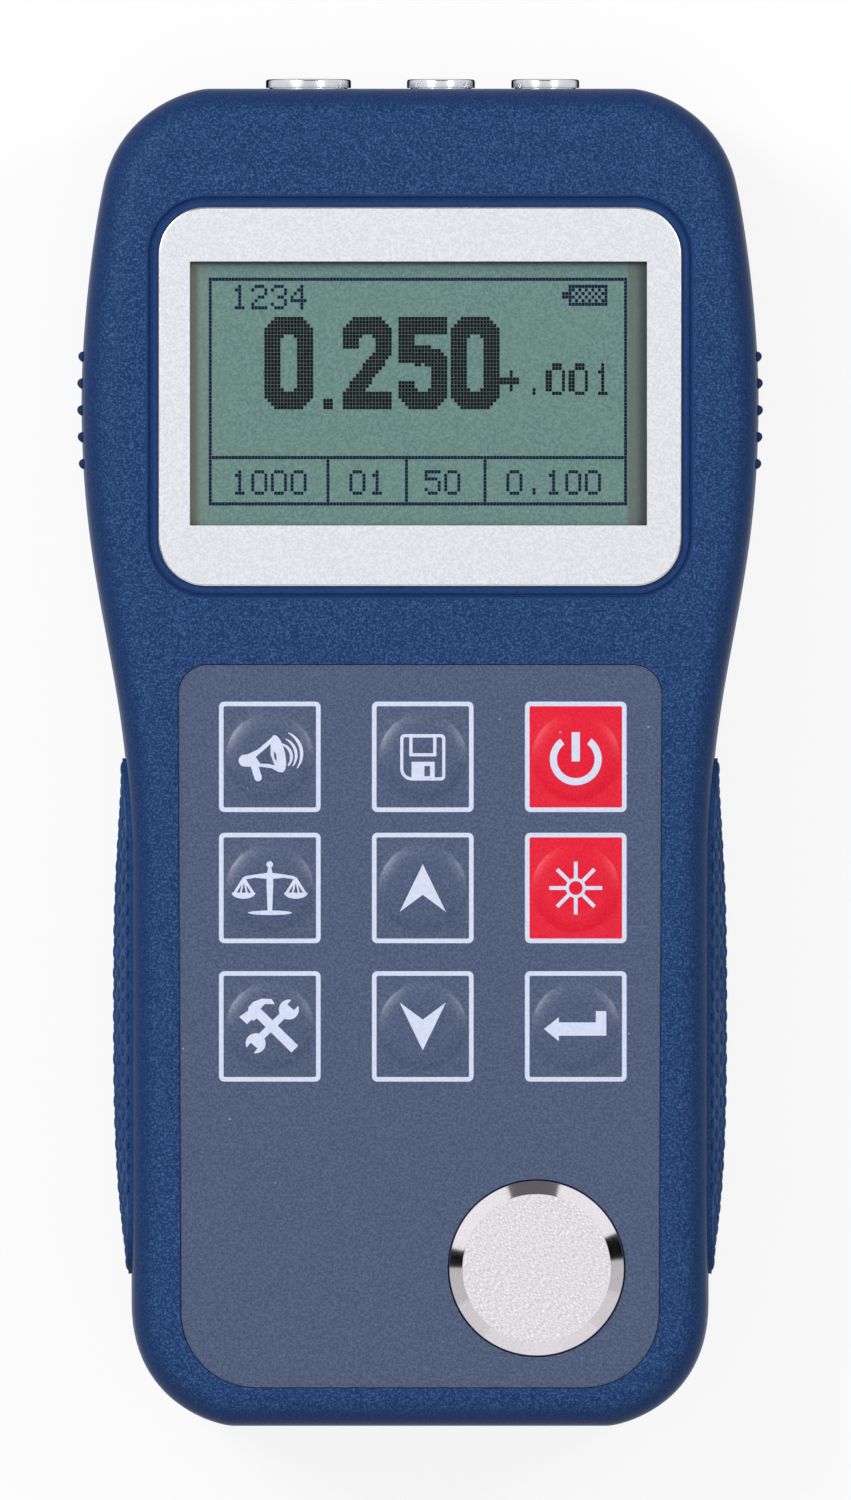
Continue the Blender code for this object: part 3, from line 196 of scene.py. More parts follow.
# Back
DOOR_HALF = 20.5 * MM
DOOR_THICK = 2.0 * MM
DOOR_CORNER = 2.0 * MM
DOOR_TOP_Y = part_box("battery_door")[1].y
TONGUE_REACH = 0.9 * MM
RAIL_THICK = 1.0 * MM
RAIL_SLACK = 0.05 * MM
DECK_THICK = 2.2 * MM
THUMB_GROOVES = 5
THUMB_PITCH = 1.8 * MM
THUMB_WIDTH = 12.0 * MM
BAY_RISE = 5.6 * MM
BAY_TOP_Y = DOOR_TOP_Y - 2.5 * MM
BAY_HALF = 15.25 * MM
BAY_WALL = 1.8 * MM
CELL_RADIUS = 7.25 * MM
CELL_Z = DOOR_THICK + 2 * GAP + CELL_RADIUS
CELL_LENGTH = 50.5 * MM
CELL_NUB = (2.75 * MM, 1.2 * MM)
NUB_BEVEL = 0.2 * MM
CELL_BEVEL = 0.5 * MM
CELL_LIP = 0.1 * MM
SPRING_RADIUS = 3.2 * MM
SPRING_WIRE = 0.35 * MM
SPRING_TURNS = 3
SPRING_STEPS = 30
CASE_SCREWS = [((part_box(f"case_screw_{i}")[0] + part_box(f"case_screw_{i}")[1]) / 2).to_2d()
               for i in range(1, 5)]
SCREW_HEAD_RADIUS = 2.2 * MM
SCREW_HEAD = 1.6 * MM
SCREW_RADIUS = 1.1 * MM
SCREW_LENGTH = 14.0 * MM
SCREW_SEAT = 6.5 * MM
POST_WALL = 0.75 * MM
CROSS = (1.3 * MM, 0.26 * MM)
CROSS_FLOOR = 0.8 * MM

# Photograph and studio
IMAGE_HEIGHT = 1500
METRES_PER_PIXEL = 0.110 * MM
VIEW_X = 0.6 * MM
VIEW_Y = 0.3 * MM
CAMERA_HEIGHT = 4.0
AIM_HEIGHT = 24.0 * MM
SENSOR_HEIGHT = 24.0
FLOOR_HALF = 4.0
FLOOR_GLOW = 0.85
WORLD_LEVEL = 0.36
RING_RADIUS = 0.25
RING_LIFT = math.radians(26.0)
LOW_CARDS = 7


def srgb(red, green, blue):
    """Return a 0 to 255 colour in the linear values that shaders take."""
    parts = [value / 255 for value in (red, green, blue)]
    return tuple(p / 12.92 if p <= 0.04045 else ((p + 0.055) / 1.055) ** 2.4 for p in parts)


def add(name, mesh):
    """Put a mesh in the scene as a new piece."""
    made = bpy.data.objects.new(name, mesh)
    bpy.context.scene.collection.objects.link(made)
    return made


def bake(piece):
    """Turn a piece and its modifiers into a plain mesh where it stands."""
    name = piece.name
    bpy.context.view_layer.update()
    graph = bpy.context.evaluated_depsgraph_get()
    mesh = bpy.data.meshes.new_from_object(piece.evaluated_get(graph))
    mesh.transform(piece.matrix_world)
    bpy.data.objects.remove(piece, do_unlink=True)
    return add(name, mesh)


def carve(piece, tool, operation='DIFFERENCE'):
    """Cut, join or intersect a piece with a tool, and remove the tool."""
    step = piece.modifiers.new("carve", 'BOOLEAN')
    step.operation = operation
    step.solver = 'EXACT'
    step.object = tool
    made = bake(piece)
    bpy.data.objects.remove(tool, do_unlink=True)
    return made


def mesh_from(name, shape):
    """Turn a bmesh into a piece."""
    mesh = bpy.data.meshes.new(name)
    shape.to_mesh(mesh)
    shape.free()
    return add(name, mesh)


def loft(name, rings, marked=()):
    """Skin a stack of rings, lowest first, close both ends and mark the faces of some steps."""
    shape = bmesh.new()
    levels = [[shape.verts.new(point) for point in ring] for ring in rings]
    count = len(levels[0])
    for step, (lower, upper) in enumerate(zip(levels, levels[1:])):
        for i in range(count):
            j = (i + 1) % count
            face = shape.faces.new((lower[i], lower[j], upper[j], upper[i]))
            face.material_index = int(step in marked)
    shape.faces.new(levels[-1])
    shape.faces.new(list(reversed(levels[0])))
    return mesh_from(name, shape)


def slab(name, loops, low, high, turn=None, merge=1e-7):
    """Extrude a flat outline, with holes where more than one loop is given."""
    curve = bpy.data.curves.new(name, 'CURVE')
    curve.dimensions = '2D'
    curve.fill_mode = 'BOTH'
    curve.extrude = (high - low) / 2
    for loop in loops:
        spline = curve.splines.new('POLY')
        spline.points.add(len(loop) - 1)
        spline.use_cyclic_u = True
        for point, (x, y) in zip(spline.points, loop):
            point.co = (x, y, 0.0, 1.0)
    holder = add(name, curve)
    holder.location.z = (high + low) / 2
    piece = bake(holder)
    if turn is not None:
        piece.data.transform(turn)
    shape = bmesh.new()
    shape.from_mesh(piece.data)
    bmesh.ops.remove_doubles(shape, verts=shape.verts, dist=merge)
    bmesh.ops.recalc_face_normals(shape, faces=shape.faces)
    shape.to_mesh(piece.data)
    shape.free()
    return piece


def box(name, low, high):
    """Make a box between two corners."""
    shape = bmesh.new()
    bmesh.ops.create_cube(shape, size=1.0)
    bmesh.ops.scale(shape, vec=Vector(high) - Vector(low), verts=shape.verts)
    bmesh.ops.translate(shape, vec=(Vector(high) + Vector(low)) / 2, verts=shape.verts)
    return mesh_from(name, shape)


def bars(name, spots, length, sides=48):
    """Make round bars as one piece, each spot a matrix and a radius."""
    shape = bmesh.new()
    for spot, radius in spots:
        bmesh.ops.create_cone(shape, cap_ends=True, segments=sides, radius1=radius,
                              radius2=radius, depth=length, matrix=spot)
    return mesh_from(name, shape)


def turned(name, profile, turn, sides=64):
    """Turn a profile, listed down its outer side, about its own Z axis."""
    mesh = bpy.data.meshes.new(name)
    verts = [(radius, 0.0, height) for radius, height in profile]
    mesh.from_pydata(verts, [(i, i + 1) for i in range(len(verts) - 1)], [])
    piece = add(name, mesh)
    step = piece.modifiers.new("turn", 'SCREW')
    step.steps = sides
    step.render_steps = sides
    step.use_merge_vertices = True
    step.merge_threshold = 1e-6
    piece = bake(piece)
    piece.data.transform(turn)
    return piece


def dress(piece, body, slot, *materials, replaces=(), angle=35.0, weighted=True):
    """Give a piece its materials, smooth its round faces and hang it on its body."""
    if materials:
        kept = [face.material_index for face in piece.data.polygons]
        piece.data.materials.clear()
        for one in materials:
            piece.data.materials.append(one)
        last = len(materials) - 1
        for face, index in zip(piece.data.polygons, kept):
            face.material_index = min(index, last)
    piece.data.shade_smooth()
    piece.data.set_sharp_from_angle(angle=math.radians(angle))
    if weighted:
        step = piece.modifiers.new("normals", 'WEIGHTED_NORMAL')
        step.keep_sharp = True
        piece = bake(piece)
    if body:
        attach(piece, body)
    if replaces:
        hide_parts(*replaces)
    return piece


# Outlines
def circle(x, y, radius, sides=64):
    return [(x + radius * math.cos(math.tau * i / sides),
             y + radius * math.sin(math.tau * i / sides)) for i in range(sides)]


def rounded(corners, radii, steps=14):
    """Return an anticlockwise outline with each corner turned to an arc."""
    points = []
    count = len(corners)
    for i, radius in enumerate(radii):
        here = Vector(corners[i])
        back = (Vector(corners[i - 1]) - here).normalized()
        ahead = (Vector(corners[(i + 1) % count]) - here).normalized()
        half = back.angle(ahead) / 2
        reach = radius / math.tan(half)
        centre = here + (back + ahead).normalized() * (radius / math.sin(half))
        start = here + back * reach - centre
        end = here + ahead * reach - centre
        turn = math.copysign(math.pi - 2 * half, start.x * end.y - start.y * end.x)
        for k in range(steps + 1):
            spun = Matrix.Rotation(turn * k / steps, 2) @ start
            points.append(tuple(centre + spun))
    return points


def rectangle(x, y, size, radius, grow=0.0, steps=14):
    """Return a rounded rectangle, grown evenly on every side."""
    a = size[0] / 2 + grow
    b = size[1] / 2 + grow
    corners = [(x - a, y - b), (x + a, y - b), (x + a, y + b), (x - a, y + b)]
    return rounded(corners, [radius + grow] * 4, steps)


def quarter(steps):
    """Return the angles of a quarter turn, both ends included."""
    return [math.pi / 2 * k / steps for k in range(steps + 1)]


def at_height(loop, z):
    return [(x, y, z) for x, y in loop]


def half_outline():
    """Return the right side of the case outline, from the foot to the top."""
    foot = Vector((FOOT_HALF - FOOT_CORNER, FOOT_Y))
    heel = Vector((FOOT_HALF, FOOT_Y + FOOT_RISE))
    waist = Vector((WAIST_HALF, TOP_Y - WAIST_DROP))
    head = Vector((HEAD_HALF, TOP_Y - HEAD_DROP))
    shoulder = Vector((SHOULDER_HALF, TOP_Y - SHOULDER_DROP))
    top = Vector((SHOULDER_HALF - TOP_CORNER, TOP_Y))
    points = list(interpolate_bezier(foot, foot + Vector((FOOT_CORNER * FOOT_PULL, 0)),
                                     heel - Vector((0, FOOT_RISE * HEEL_PULL)), heel, 28))
    points += [heel.lerp(waist, i / 30) for i in range(1, 30)]
    pull = Vector((0, (head.y - waist.y) * WAIST_PULL))
    points += interpolate_bezier(waist, waist + pull, head - pull, head, 30)
    reach = (shoulder.y - head.y) * HEAD_PULL
    lean = Vector((-SHOULDER_LEAN, 1)).normalized()
    points += interpolate_bezier(head, head + Vector((0, reach)), shoulder - lean * reach,
                                 shoulder, 14)[1:]
    points += interpolate_bezier(shoulder, shoulder + lean * SHOULDER_DROP * SHOULDER_PULL,
                                 top + Vector((TOP_CORNER * TOP_PULL, 0)), top, 28)[1:]
    return [(point.x, point.y) for point in points]


def case_outline(inset=0.0):
    """Return the whole case outline, moved inwards by the inset."""
    right = half_outline()
    loop = right + [(-x, y) for x, y in reversed(right)]
    moved = []
    for i, here in enumerate(loop):
        before = Vector(here) - Vector(loop[i - 1])
        after = Vector(loop[(i + 1) % len(loop)]) - Vector(here)
        first = Vector((-before.y, before.x)).normalized()
        second = Vector((-after.y, after.x)).normalized()
        shift = (first + second) * (inset / (1.0 + first.dot(second)))
        moved.append(tuple(Vector(here) + shift))
    return moved


def side_at(y):
    """Return the half width of the case beside the head and handle."""
    right = [point for point in half_outline() if point[0] > WAIST_HALF - DRAFT]
    return float(np.interp(y, [point[1] for point in right], [point[0] for point in right]))


def draft_at(z):
    """Return how far the side walls have leaned in at a height."""
    span = BODY_DEPTH - SPLIT_HEIGHT if z > SPLIT_HEIGHT else SPLIT_HEIGHT
    return DRAFT * abs(z - SPLIT_HEIGHT) / span


def case_form(name):
    """Return the closed outer form of the whole case, with rounded rims."""
    levels = [(EDGE_RADIUS * (1 - math.cos(angle)), EDGE_RADIUS * (1 - math.sin(angle)))
              for angle in quarter(12)]
    heights = levels + [(SPLIT_HEIGHT, 0.0)]
    heights += [(BODY_DEPTH - rise, inset) for rise, inset in reversed(levels)]
    return loft(name, [at_height(case_outline(inset + draft_at(z)), z) for z, inset in heights])


def inner_form(name, inset, low, high):
    """Return the case outline moved inwards, between two heights."""
    loop = case_outline(inset)
    return loft(name, [at_height(loop, low), at_height(loop, high)])


def half_space(name, low, high):
    return box(name, (-1.0, -1.0, low), (1.0, 1.0, high))


def bezel_outline(grow=0.0):
    return rectangle(0.0, BEZEL_Y, BEZEL_SIZE, BEZEL_CORNER, grow)


def window_outline(grow=0.0):
    return rectangle(-WINDOW_SHIFT / 2, BEZEL_Y + WINDOW_SHIFT, WINDOW_SIZE, WINDOW_CORNER,
                     grow, 4)


def film_outline(grow=0.0):
    """Return the outline of the keypad film, with its larger foot corners."""
    top = FILM_HIGH.y + grow
    foot = FILM_LOW.y - grow
    a = FILM_FOOT_HALF + grow
    b = FILM_HIGH.x + grow
    radii = [FILM_FOOT_CORNER + grow] * 2 + [FILM_TOP_CORNER + grow] * 2
    return rounded([(-a, foot), (a, foot), (b, top), (-b, top)], radii, 18)


ON_SIDE = Matrix(((0, 0, 1, 0), (1, 0, 0, 0), (0, 1, 0, 0), (0, 0, 0, 1)))
LYING = Matrix.Rotation(-math.pi / 2, 4, 'X')


# Geometry Nodes
def tree_with(name, sockets):
    """Start a geometry tree with a geometry output and named inputs."""
    tree = bpy.data.node_groups.new(name, 'GeometryNodeTree')
    tree.interface.new_socket("Geometry", in_out='OUTPUT', socket_type='NodeSocketGeometry')
    tree.interface.new_socket("Base", in_out='INPUT', socket_type='NodeSocketGeometry')
    for title, kind in sockets:
        tree.interface.new_socket(title, in_out='INPUT', socket_type=kind)
    return tree, tree.nodes.new('NodeGroupInput'), tree.nodes.new('NodeGroupOutput')


def put(tree, kind, settings=None, **inputs):
    """Add a node, set its own settings, and fill or link its named inputs."""
    made = tree.nodes.new(kind)
    for key, value in (settings or {}).items():
        setattr(made, key, value)
    for key, value in inputs.items():
        fill(tree, made.inputs[key.replace("_", " ")], value)
    return made


def fill(tree, socket, value):
    """Link an output to a socket, or set the socket's own value."""
    if isinstance(value, bpy.types.NodeSocket):
        tree.links.new(value, socket)
    else:
        socket.default_value = value


def grown(name, base, tree, values):
    """Run a geometry tree on a base mesh and return the plain result."""
    piece = add(name, base)
    step = piece.modifiers.new("grow", 'NODES')
    step.node_group = tree
    titles = {item.name: item.identifier for item in tree.interface.items_tree
              if item.in_out == 'INPUT'}
    for title, value in values.items():
        step[titles[title]] = value
    return bake(piece)


def bump_tree():
    """Return the tree that sets a low round bump on each point, along the point's normal."""
    tree, start, end = tree_with("raised_bumps", (("Radius", 'NodeSocketFloat'),
                                                  ("Height", 'NodeSocketFloat'),
                                                  ("Finish", 'NodeSocketMaterial')))
    ball = put(tree, 'GeometryNodeMeshUVSphere', Segments=12, Rings=7, Radius=1.0)
    size = put(tree, 'ShaderNodeCombineXYZ', X=start.outputs["Radius"],
               Y=start.outputs["Radius"], Z=start.outputs["Height"])
    facing = put(tree, 'GeometryNodeInputNamedAttribute', {'data_type': 'FLOAT_VECTOR'},
                 Name="facing")
    turn = put(tree, 'FunctionNodeAlignRotationToVector', {'axis': 'Z'},
               Vector=facing.outputs[0])
    set_out = put(tree, 'GeometryNodeInstanceOnPoints', Points=start.outputs["Base"],
                  Instance=ball.outputs["Mesh"], Rotation=turn.outputs[0],
                  Scale=size.outputs[0])
    real = put(tree, 'GeometryNodeRealizeInstances', Geometry=set_out.outputs[0])
    smooth = put(tree, 'GeometryNodeSetShadeSmooth', Geometry=real.outputs[0])
    finish = put(tree, 'GeometryNodeSetMaterial', Geometry=smooth.outputs[0],
                 Material=start.outputs["Finish"])
    tree.links.new(finish.outputs[0], end.inputs[0])
    return tree


def dot_tree():
    """Return the tree that sets a flat square dot on each point."""
    tree, start, end = tree_with("display_dots", (("Width", 'NodeSocketFloat'),
                                                  ("Length", 'NodeSocketFloat'),
                                                  ("Finish", 'NodeSocketMaterial')))
    tile = put(tree, 'GeometryNodeMeshGrid', Size_X=start.outputs["Width"],
               Size_Y=start.outputs["Length"], Vertices_X=2, Vertices_Y=2)
    set_out = put(tree, 'GeometryNodeInstanceOnPoints', Points=start.outputs["Base"],
                  Instance=tile.outputs["Mesh"])
    real = put(tree, 'GeometryNodeRealizeInstances', Geometry=set_out.outputs[0])
    finish = put(tree, 'GeometryNodeSetMaterial', Geometry=real.outputs[0],
                 Material=start.outputs["Finish"])
    tree.links.new(finish.outputs[0], end.inputs[0])
    return tree


# Shader groups
def group_with(name, inputs, outputs):
    """Start a shader group with named inputs, each with a value, and outputs."""
    tree = bpy.data.node_groups.new(name, 'ShaderNodeTree')
    for title, kind, value in inputs:
        socket = tree.interface.new_socket(title, in_out='INPUT', socket_type=kind)
        socket.default_value = value
    for title, kind in outputs:
        tree.interface.new_socket(title, in_out='OUTPUT', socket_type=kind)
    return tree, tree.nodes.new('NodeGroupInput'), tree.nodes.new('NodeGroupOutput')


def maths(tree, operation, first, second=0.5, third=0.5):
    """Return the result of one sum on values or outputs."""
    made = tree.nodes.new('ShaderNodeMath')
    made.operation = operation
    for socket, value in zip(made.inputs, (first, second, third)):
        fill(tree, socket, value)
    return made.outputs[0]


def ramp(tree, value, low, high):
    """Return 0 below low, 1 above high, and a smooth climb between."""
    made = put(tree, 'ShaderNodeMapRange', {'interpolation_type': 'SMOOTHSTEP'}, Value=value)
    made.inputs["From Min"].default_value = low
    made.inputs["From Max"].default_value = high
    return made.outputs["Result"]


def between(tree, factor, first, second):
    """Mix two colours by a factor."""
    made = tree.nodes.new('ShaderNodeMix')
    made.data_type = 'RGBA'
    fill(tree, made.inputs[0], factor)
    for socket, colour in ((made.inputs[6], first), (made.inputs[7], second)):
        linked = isinstance(colour, bpy.types.NodeSocket)
        fill(tree, socket, colour if linked else (*colour, 1))
    return made.outputs[2]


def noise(tree, scale, detail=2.0, rough=0.5, vector=None):
    """Return a noise pattern on the object's own coordinates, scale in marks a metre."""
    if vector is None:
        vector = tree.nodes.new('ShaderNodeTexCoord').outputs["Object"]
    made = put(tree, 'ShaderNodeTexNoise', Vector=vector, Detail=detail, Roughness=rough)
    fill(tree, made.inputs["Scale"], scale)
    return made.outputs["Fac"]


def grain_group():
    """Moulded or sprayed grain: a fine mask, and a height for a bump."""
    tree, start, end = group_with("moulded_grain", (("Scale", 'NodeSocketFloat', 3500.0),
                                                    ("Low", 'NodeSocketFloat', 0.45),
                                                    ("High", 'NodeSocketFloat', 0.7)),
                                  (("Mask", 'NodeSocketFloat'), ("Height", 'NodeSocketFloat')))
    fine = noise(tree, start.outputs["Scale"], 1.5, 0.6)
    climb = put(tree, 'ShaderNodeMapRange', {'interpolation_type': 'SMOOTHSTEP'}, Value=fine,
                From_Min=start.outputs["Low"], From_Max=start.outputs["High"])
    tree.links.new(climb.outputs["Result"], end.inputs["Mask"])
    tree.links.new(fine, end.inputs["Height"])
    return tree


def speck_group():
    """Small stray specks of pale dust, as a mask."""
    tree, start, end = group_with("stray_dust", (("Scale", 'NodeSocketFloat', 260.0),
                                                 ("Size", 'NodeSocketFloat', 0.05)),
                                  (("Mask", 'NodeSocketFloat'),))
    place = tree.nodes.new('ShaderNodeTexCoord').outputs["Object"]
    cells = put(tree, 'ShaderNodeTexVoronoi', Vector=place, Scale=start.outputs["Scale"])
    near = maths(tree, 'LESS_THAN', cells.outputs["Distance"], start.outputs["Size"])
    chosen = maths(tree, 'GREATER_THAN', noise(tree, 90.0, 0.0), 0.6)
    tree.links.new(maths(tree, 'MULTIPLY', near, chosen), end.inputs["Mask"])
    return tree


def ground_group():
    """Fine slanting lines left by grinding, as a mask and a height."""
    tree, start, end = group_with("ground_lines", (("Scale", 'NodeSocketFloat', 1500.0),
                                                   ("Stretch", 'NodeSocketFloat', 0.14)),
                                  (("Mask", 'NodeSocketFloat'), ("Height", 'NodeSocketFloat')))
    place = tree.nodes.new('ShaderNodeTexCoord').outputs["Object"]
    spun = put(tree, 'ShaderNodeVectorRotate', {'rotation_type': 'Z_AXIS'}, Vector=place,
               Angle=math.radians(38.0))
    apart = put(tree, 'ShaderNodeSeparateXYZ', Vector=spun.outputs[0])
    along = maths(tree, 'MULTIPLY', apart.outputs["X"], start.outputs["Stretch"])
    joined = put(tree, 'ShaderNodeCombineXYZ', X=along, Y=apart.outputs["Y"])
    lines = noise(tree, start.outputs["Scale"], 3.0, 0.7, joined.outputs[0])
    tree.links.new(ramp(tree, lines, 0.35, 0.7), end.inputs["Mask"])
    tree.links.new(lines, end.inputs["Height"])
    return tree


def wear_group():
    """Slow, broad unevenness, as a mask."""
    tree, start, end = group_with("broad_mottle", (("Scale", 'NodeSocketFloat', 60.0),),
                                  (("Mask", 'NodeSocketFloat'),))
    tree.links.new(ramp(tree, noise(tree, start.outputs["Scale"], 3.0), 0.3, 0.7),
                   end.inputs["Mask"])
    return tree


GRAIN = grain_group()
SPECKS = speck_group()
GROUND = ground_group()
MOTTLE = wear_group()


def use(tree, group, **values):
    """Place a shader group in a material with its own values."""
    made = tree.nodes.new('ShaderNodeGroup')
    made.node_tree = group
    for key, value in values.items():
        fill(tree, made.inputs[key], value)
    return made.outputs


def start_material(name, roughness=0.5, metallic=0.0, specular=0.5):
    """Start a material and return it with its tree and its shader."""
    made = bpy.data.materials.new(name)
    made.use_nodes = True
    tree = made.node_tree
    shader = tree.nodes["Principled BSDF"]
    shader.inputs["Roughness"].default_value = roughness
    shader.inputs["Metallic"].default_value = metallic
    shader.inputs["Specular IOR Level"].default_value = specular
    return made, tree, shader


def raise_bump(tree, shader, height, strength, distance):
    """Feed a height through a bump into the shader's normal."""
    made = put(tree, 'ShaderNodeBump', Height=height, Strength=strength, Distance=distance)
    tree.links.new(made.outputs[0], shader.inputs["Normal"])


def plain_finish(name, low, high, roughness, metallic=0.0, scale=900.0, bump=0.1, specular=0.5):
    """A finish of two close tones with a fine grain and a slightly uneven gloss."""
    made, tree, shader = start_material(name, roughness, metallic, specular)
    grain = use(tree, GRAIN, Scale=scale, Low=0.35, High=0.65)
    fill(tree, shader.inputs["Base Color"], between(tree, grain["Mask"], low, high))
    uneven = use(tree, MOTTLE, Scale=120.0)["Mask"]
    spread = put(tree, 'ShaderNodeMapRange', Value=uneven, To_Min=roughness * 0.9,
                 To_Max=min(1.0, roughness * 1.12))
    fill(tree, shader.inputs["Roughness"], spread.outputs["Result"])
    raise_bump(tree, shader, grain["Height"], bump, 0.00002)
    return made


def blue_finish():
    """Fine-grained blue plastic whose pale grain fades below the front face, where the rim turns over
    and on the rear, which also paints its tone darker there: partly a smoother rim, partly painted
    shade.
    """
    made, tree, shader = start_material("blue_plastic", 0.5, specular=0.08)
    place = tree.nodes.new('ShaderNodeTexCoord').outputs["Object"]
    height = put(tree, 'ShaderNodeSeparateXYZ', Vector=place).outputs["Z"]
    flat = ramp(tree, height, BODY_DEPTH - 1.3 * MM, BODY_DEPTH - 0.25 * MM)
    grain = use(tree, GRAIN, Scale=4200.0, Low=0.44, High=0.7)
    coarse = use(tree, GRAIN, Scale=1500.0, Low=0.42, High=0.66)
    mixed = maths(tree, 'MULTIPLY', maths(tree, 'ADD', grain["Mask"],
                                          maths(tree, 'MULTIPLY', coarse["Mask"], 0.15)), 0.87)
    # Painted shade: below the front face the grain mask is damped, which fades the pale grain and
    # darkens the tone.
    rim_fade_and_shade = maths(tree, 'MULTIPLY_ADD', flat, 0.65, 0.35)
    mask = maths(tree, 'MULTIPLY', mixed, rim_fade_and_shade)
    fill(tree, shader.inputs["Base Color"],
         between(tree, mask, srgb(24, 52, 98), srgb(62, 95, 144)))
    raise_bump(tree, shader, grain["Height"], 0.22, 0.00003)
    return made


def film_finish(name, low, high, specular):
    """Finely textured printed film, with a few stray specks."""
    made, tree, shader = start_material(name, 0.34, specular=specular)
    grain = use(tree, GRAIN, Scale=3800.0, Low=0.35, High=0.68)
    tone = between(tree, grain["Mask"], low, high)
    dust = use(tree, SPECKS, Scale=420.0, Size=0.05)["Mask"]
    fill(tree, shader.inputs["Base Color"], between(tree, dust, tone, srgb(140, 148, 168)))
    raise_bump(tree, shader, grain["Height"], 0.16, 0.00003)
    return made


def steel_finish(name, low, high, roughness, bump, metallic):
    """Ground steel with slanting lines."""
    made, tree, shader = start_material(name, roughness, metallic)
    lines = use(tree, GROUND, Scale=8000.0, Stretch=0.35)
    fill(tree, shader.inputs["Base Color"], between(tree, lines["Mask"], low, high))
    raise_bump(tree, shader, lines["Height"], bump, 0.00002)
    return made


def nickel_finish():
    """Bright plating, with a painted dark reflection where it turns away from the view."""
    made, tree, shader = start_material("nickel_plate", 0.2, 1.0)
    away = tree.nodes.new('ShaderNodeLayerWeight').outputs["Facing"]
    uneven = use(tree, MOTTLE, Scale=300.0)["Mask"]
    tone = between(tree, uneven, srgb(206, 208, 214), srgb(222, 223, 228))
    # Painted reflection: the plating darkens towards its outline, where it turns away from the view.
    fill(tree, shader.inputs["Base Color"],
         between(tree, ramp(tree, away, 0.45, 0.8), tone, srgb(62, 66, 84)))
    shader.inputs["Specular Tint"].default_value = (0.03, 0.035, 0.05, 1.0)
    return made


def crystal_finish():
    """Grey-green liquid crystal glass, with a painted shadow and painted reflection of the window's
    walls darkening its right side and its top edge, and a paler, brownish band on its left, partly
    its own margin and partly painted light.
    """
    made, tree, shader = start_material("display_green", 0.35, specular=0.1)
    place = tree.nodes.new('ShaderNodeTexCoord').outputs["Object"]
    apart = put(tree, 'ShaderNodeSeparateXYZ', Vector=place)
    grain = use(tree, GRAIN, Scale=3400.0, Low=0.3, High=0.72)
    uneven = use(tree, MOTTLE, Scale=260.0)["Mask"]
    tone = between(tree, grain["Mask"], srgb(110, 148, 142), srgb(137, 174, 168))
    tone = between(tree, maths(tree, 'MULTIPLY', uneven, 0.2), tone, srgb(136, 168, 150))
    edge_x = WINDOW_SIZE[0] / 2
    edge_y = WINDOW_SIZE[1] / 2
    right = maths(tree, 'ADD', apart.outputs["X"], WINDOW_SHIFT / 2)
    up = maths(tree, 'SUBTRACT', apart.outputs["Y"], BEZEL_Y + WINDOW_SHIFT)
    left = maths(tree, 'MULTIPLY', right, -1.0)
    # Bands along the window's edges: on the left, painted light over the display's own brownish
    # margin; on the right, a painted shadow and painted reflection of the window's wall; along the
    # top, painted shade and a painted shadow line.
    for way, start, finish, share, shade in (
            (left, edge_x - 4.0 * MM, edge_x, 0.5, (150, 162, 152)),
            (left, edge_x - 1.2 * MM, edge_x, 0.7, (158, 146, 130)),
            (right, edge_x - 2.3 * MM, edge_x - 1.9 * MM, 0.75, (118, 122, 116)),
            (right, edge_x - 1.6 * MM, edge_x, 0.7, (66, 78, 76)),
            (up, edge_y - 2.2 * MM, edge_y, 0.35, (92, 108, 112)),
            (up, edge_y - 0.35 * MM, edge_y - 0.1 * MM, 0.5, (62, 60, 56))):
        tone = between(tree, maths(tree, 'MULTIPLY', ramp(tree, way, start, finish), share),
                       tone, srgb(*shade))
    fill(tree, shader.inputs["Base Color"], tone)
    return made


def clear_finish():
    """Thin clear window with a faint gloss."""
    made, _, shader = start_material("clear_window", 0.08, specular=0.12)
    shader.inputs["Base Color"].default_value = (0.02, 0.028, 0.026, 1.0)
    shader.inputs["Alpha"].default_value = 0.1
    return made


BLUE = blue_finish()
BLUE_SMOOTH = plain_finish("blue_smooth", srgb(28, 56, 104), srgb(33, 63, 113), 0.42,
                           scale=2600.0, bump=0.05, specular=0.12)
RUBBER = plain_finish("grip_rubber", srgb(32, 65, 115), srgb(48, 81, 131), 0.6, scale=3000.0,
                      specular=0.06)
SILVER = plain_finish("satin_silver", srgb(213, 214, 220), srgb(228, 229, 234), 0.36,
                      scale=3600.0, bump=0.12, specular=0.4)
BRIGHT_EDGE = plain_finish("bright_edge", srgb(240, 242, 246), srgb(248, 250, 252), 0.22, 1.0,
                           scale=2400.0, bump=0.03)
CLEAR = clear_finish()
CRYSTAL = crystal_finish()
DIGIT = plain_finish("display_dark_dots", srgb(20, 14, 20), srgb(30, 24, 32), 0.6, scale=3000.0,
                     specular=0.05)
LINE = plain_finish("display_blue_dots", srgb(14, 20, 62), srgb(24, 32, 76), 0.6, scale=3000.0,
                    specular=0.1)
FILM = film_finish("grey_film", srgb(54, 69, 102), srgb(80, 93, 124), 0.6)
RED_FILM = film_finish("red_film", srgb(218, 6, 40), srgb(232, 18, 54), 0.3)
PRINT = plain_finish("white_print", srgb(206, 213, 236), srgb(214, 221, 242), 0.45,
                     scale=2400.0, specular=0.3)
STEEL_FACE = steel_finish("ground_steel", srgb(195, 188, 198), srgb(255, 253, 255), 0.5, 0.5,
                          0.2)
STEEL_RIM = steel_finish("polished_steel", srgb(226, 221, 226), srgb(238, 234, 238), 0.1, 0.02,
                         1.0)
NICKEL = nickel_finish()
INSULATOR = plain_finish("insulator", srgb(226, 222, 210), srgb(236, 232, 220), 0.5)
TIN = plain_finish("tinned_steel", srgb(190, 190, 193), srgb(206, 206, 209), 0.34, 1.0)
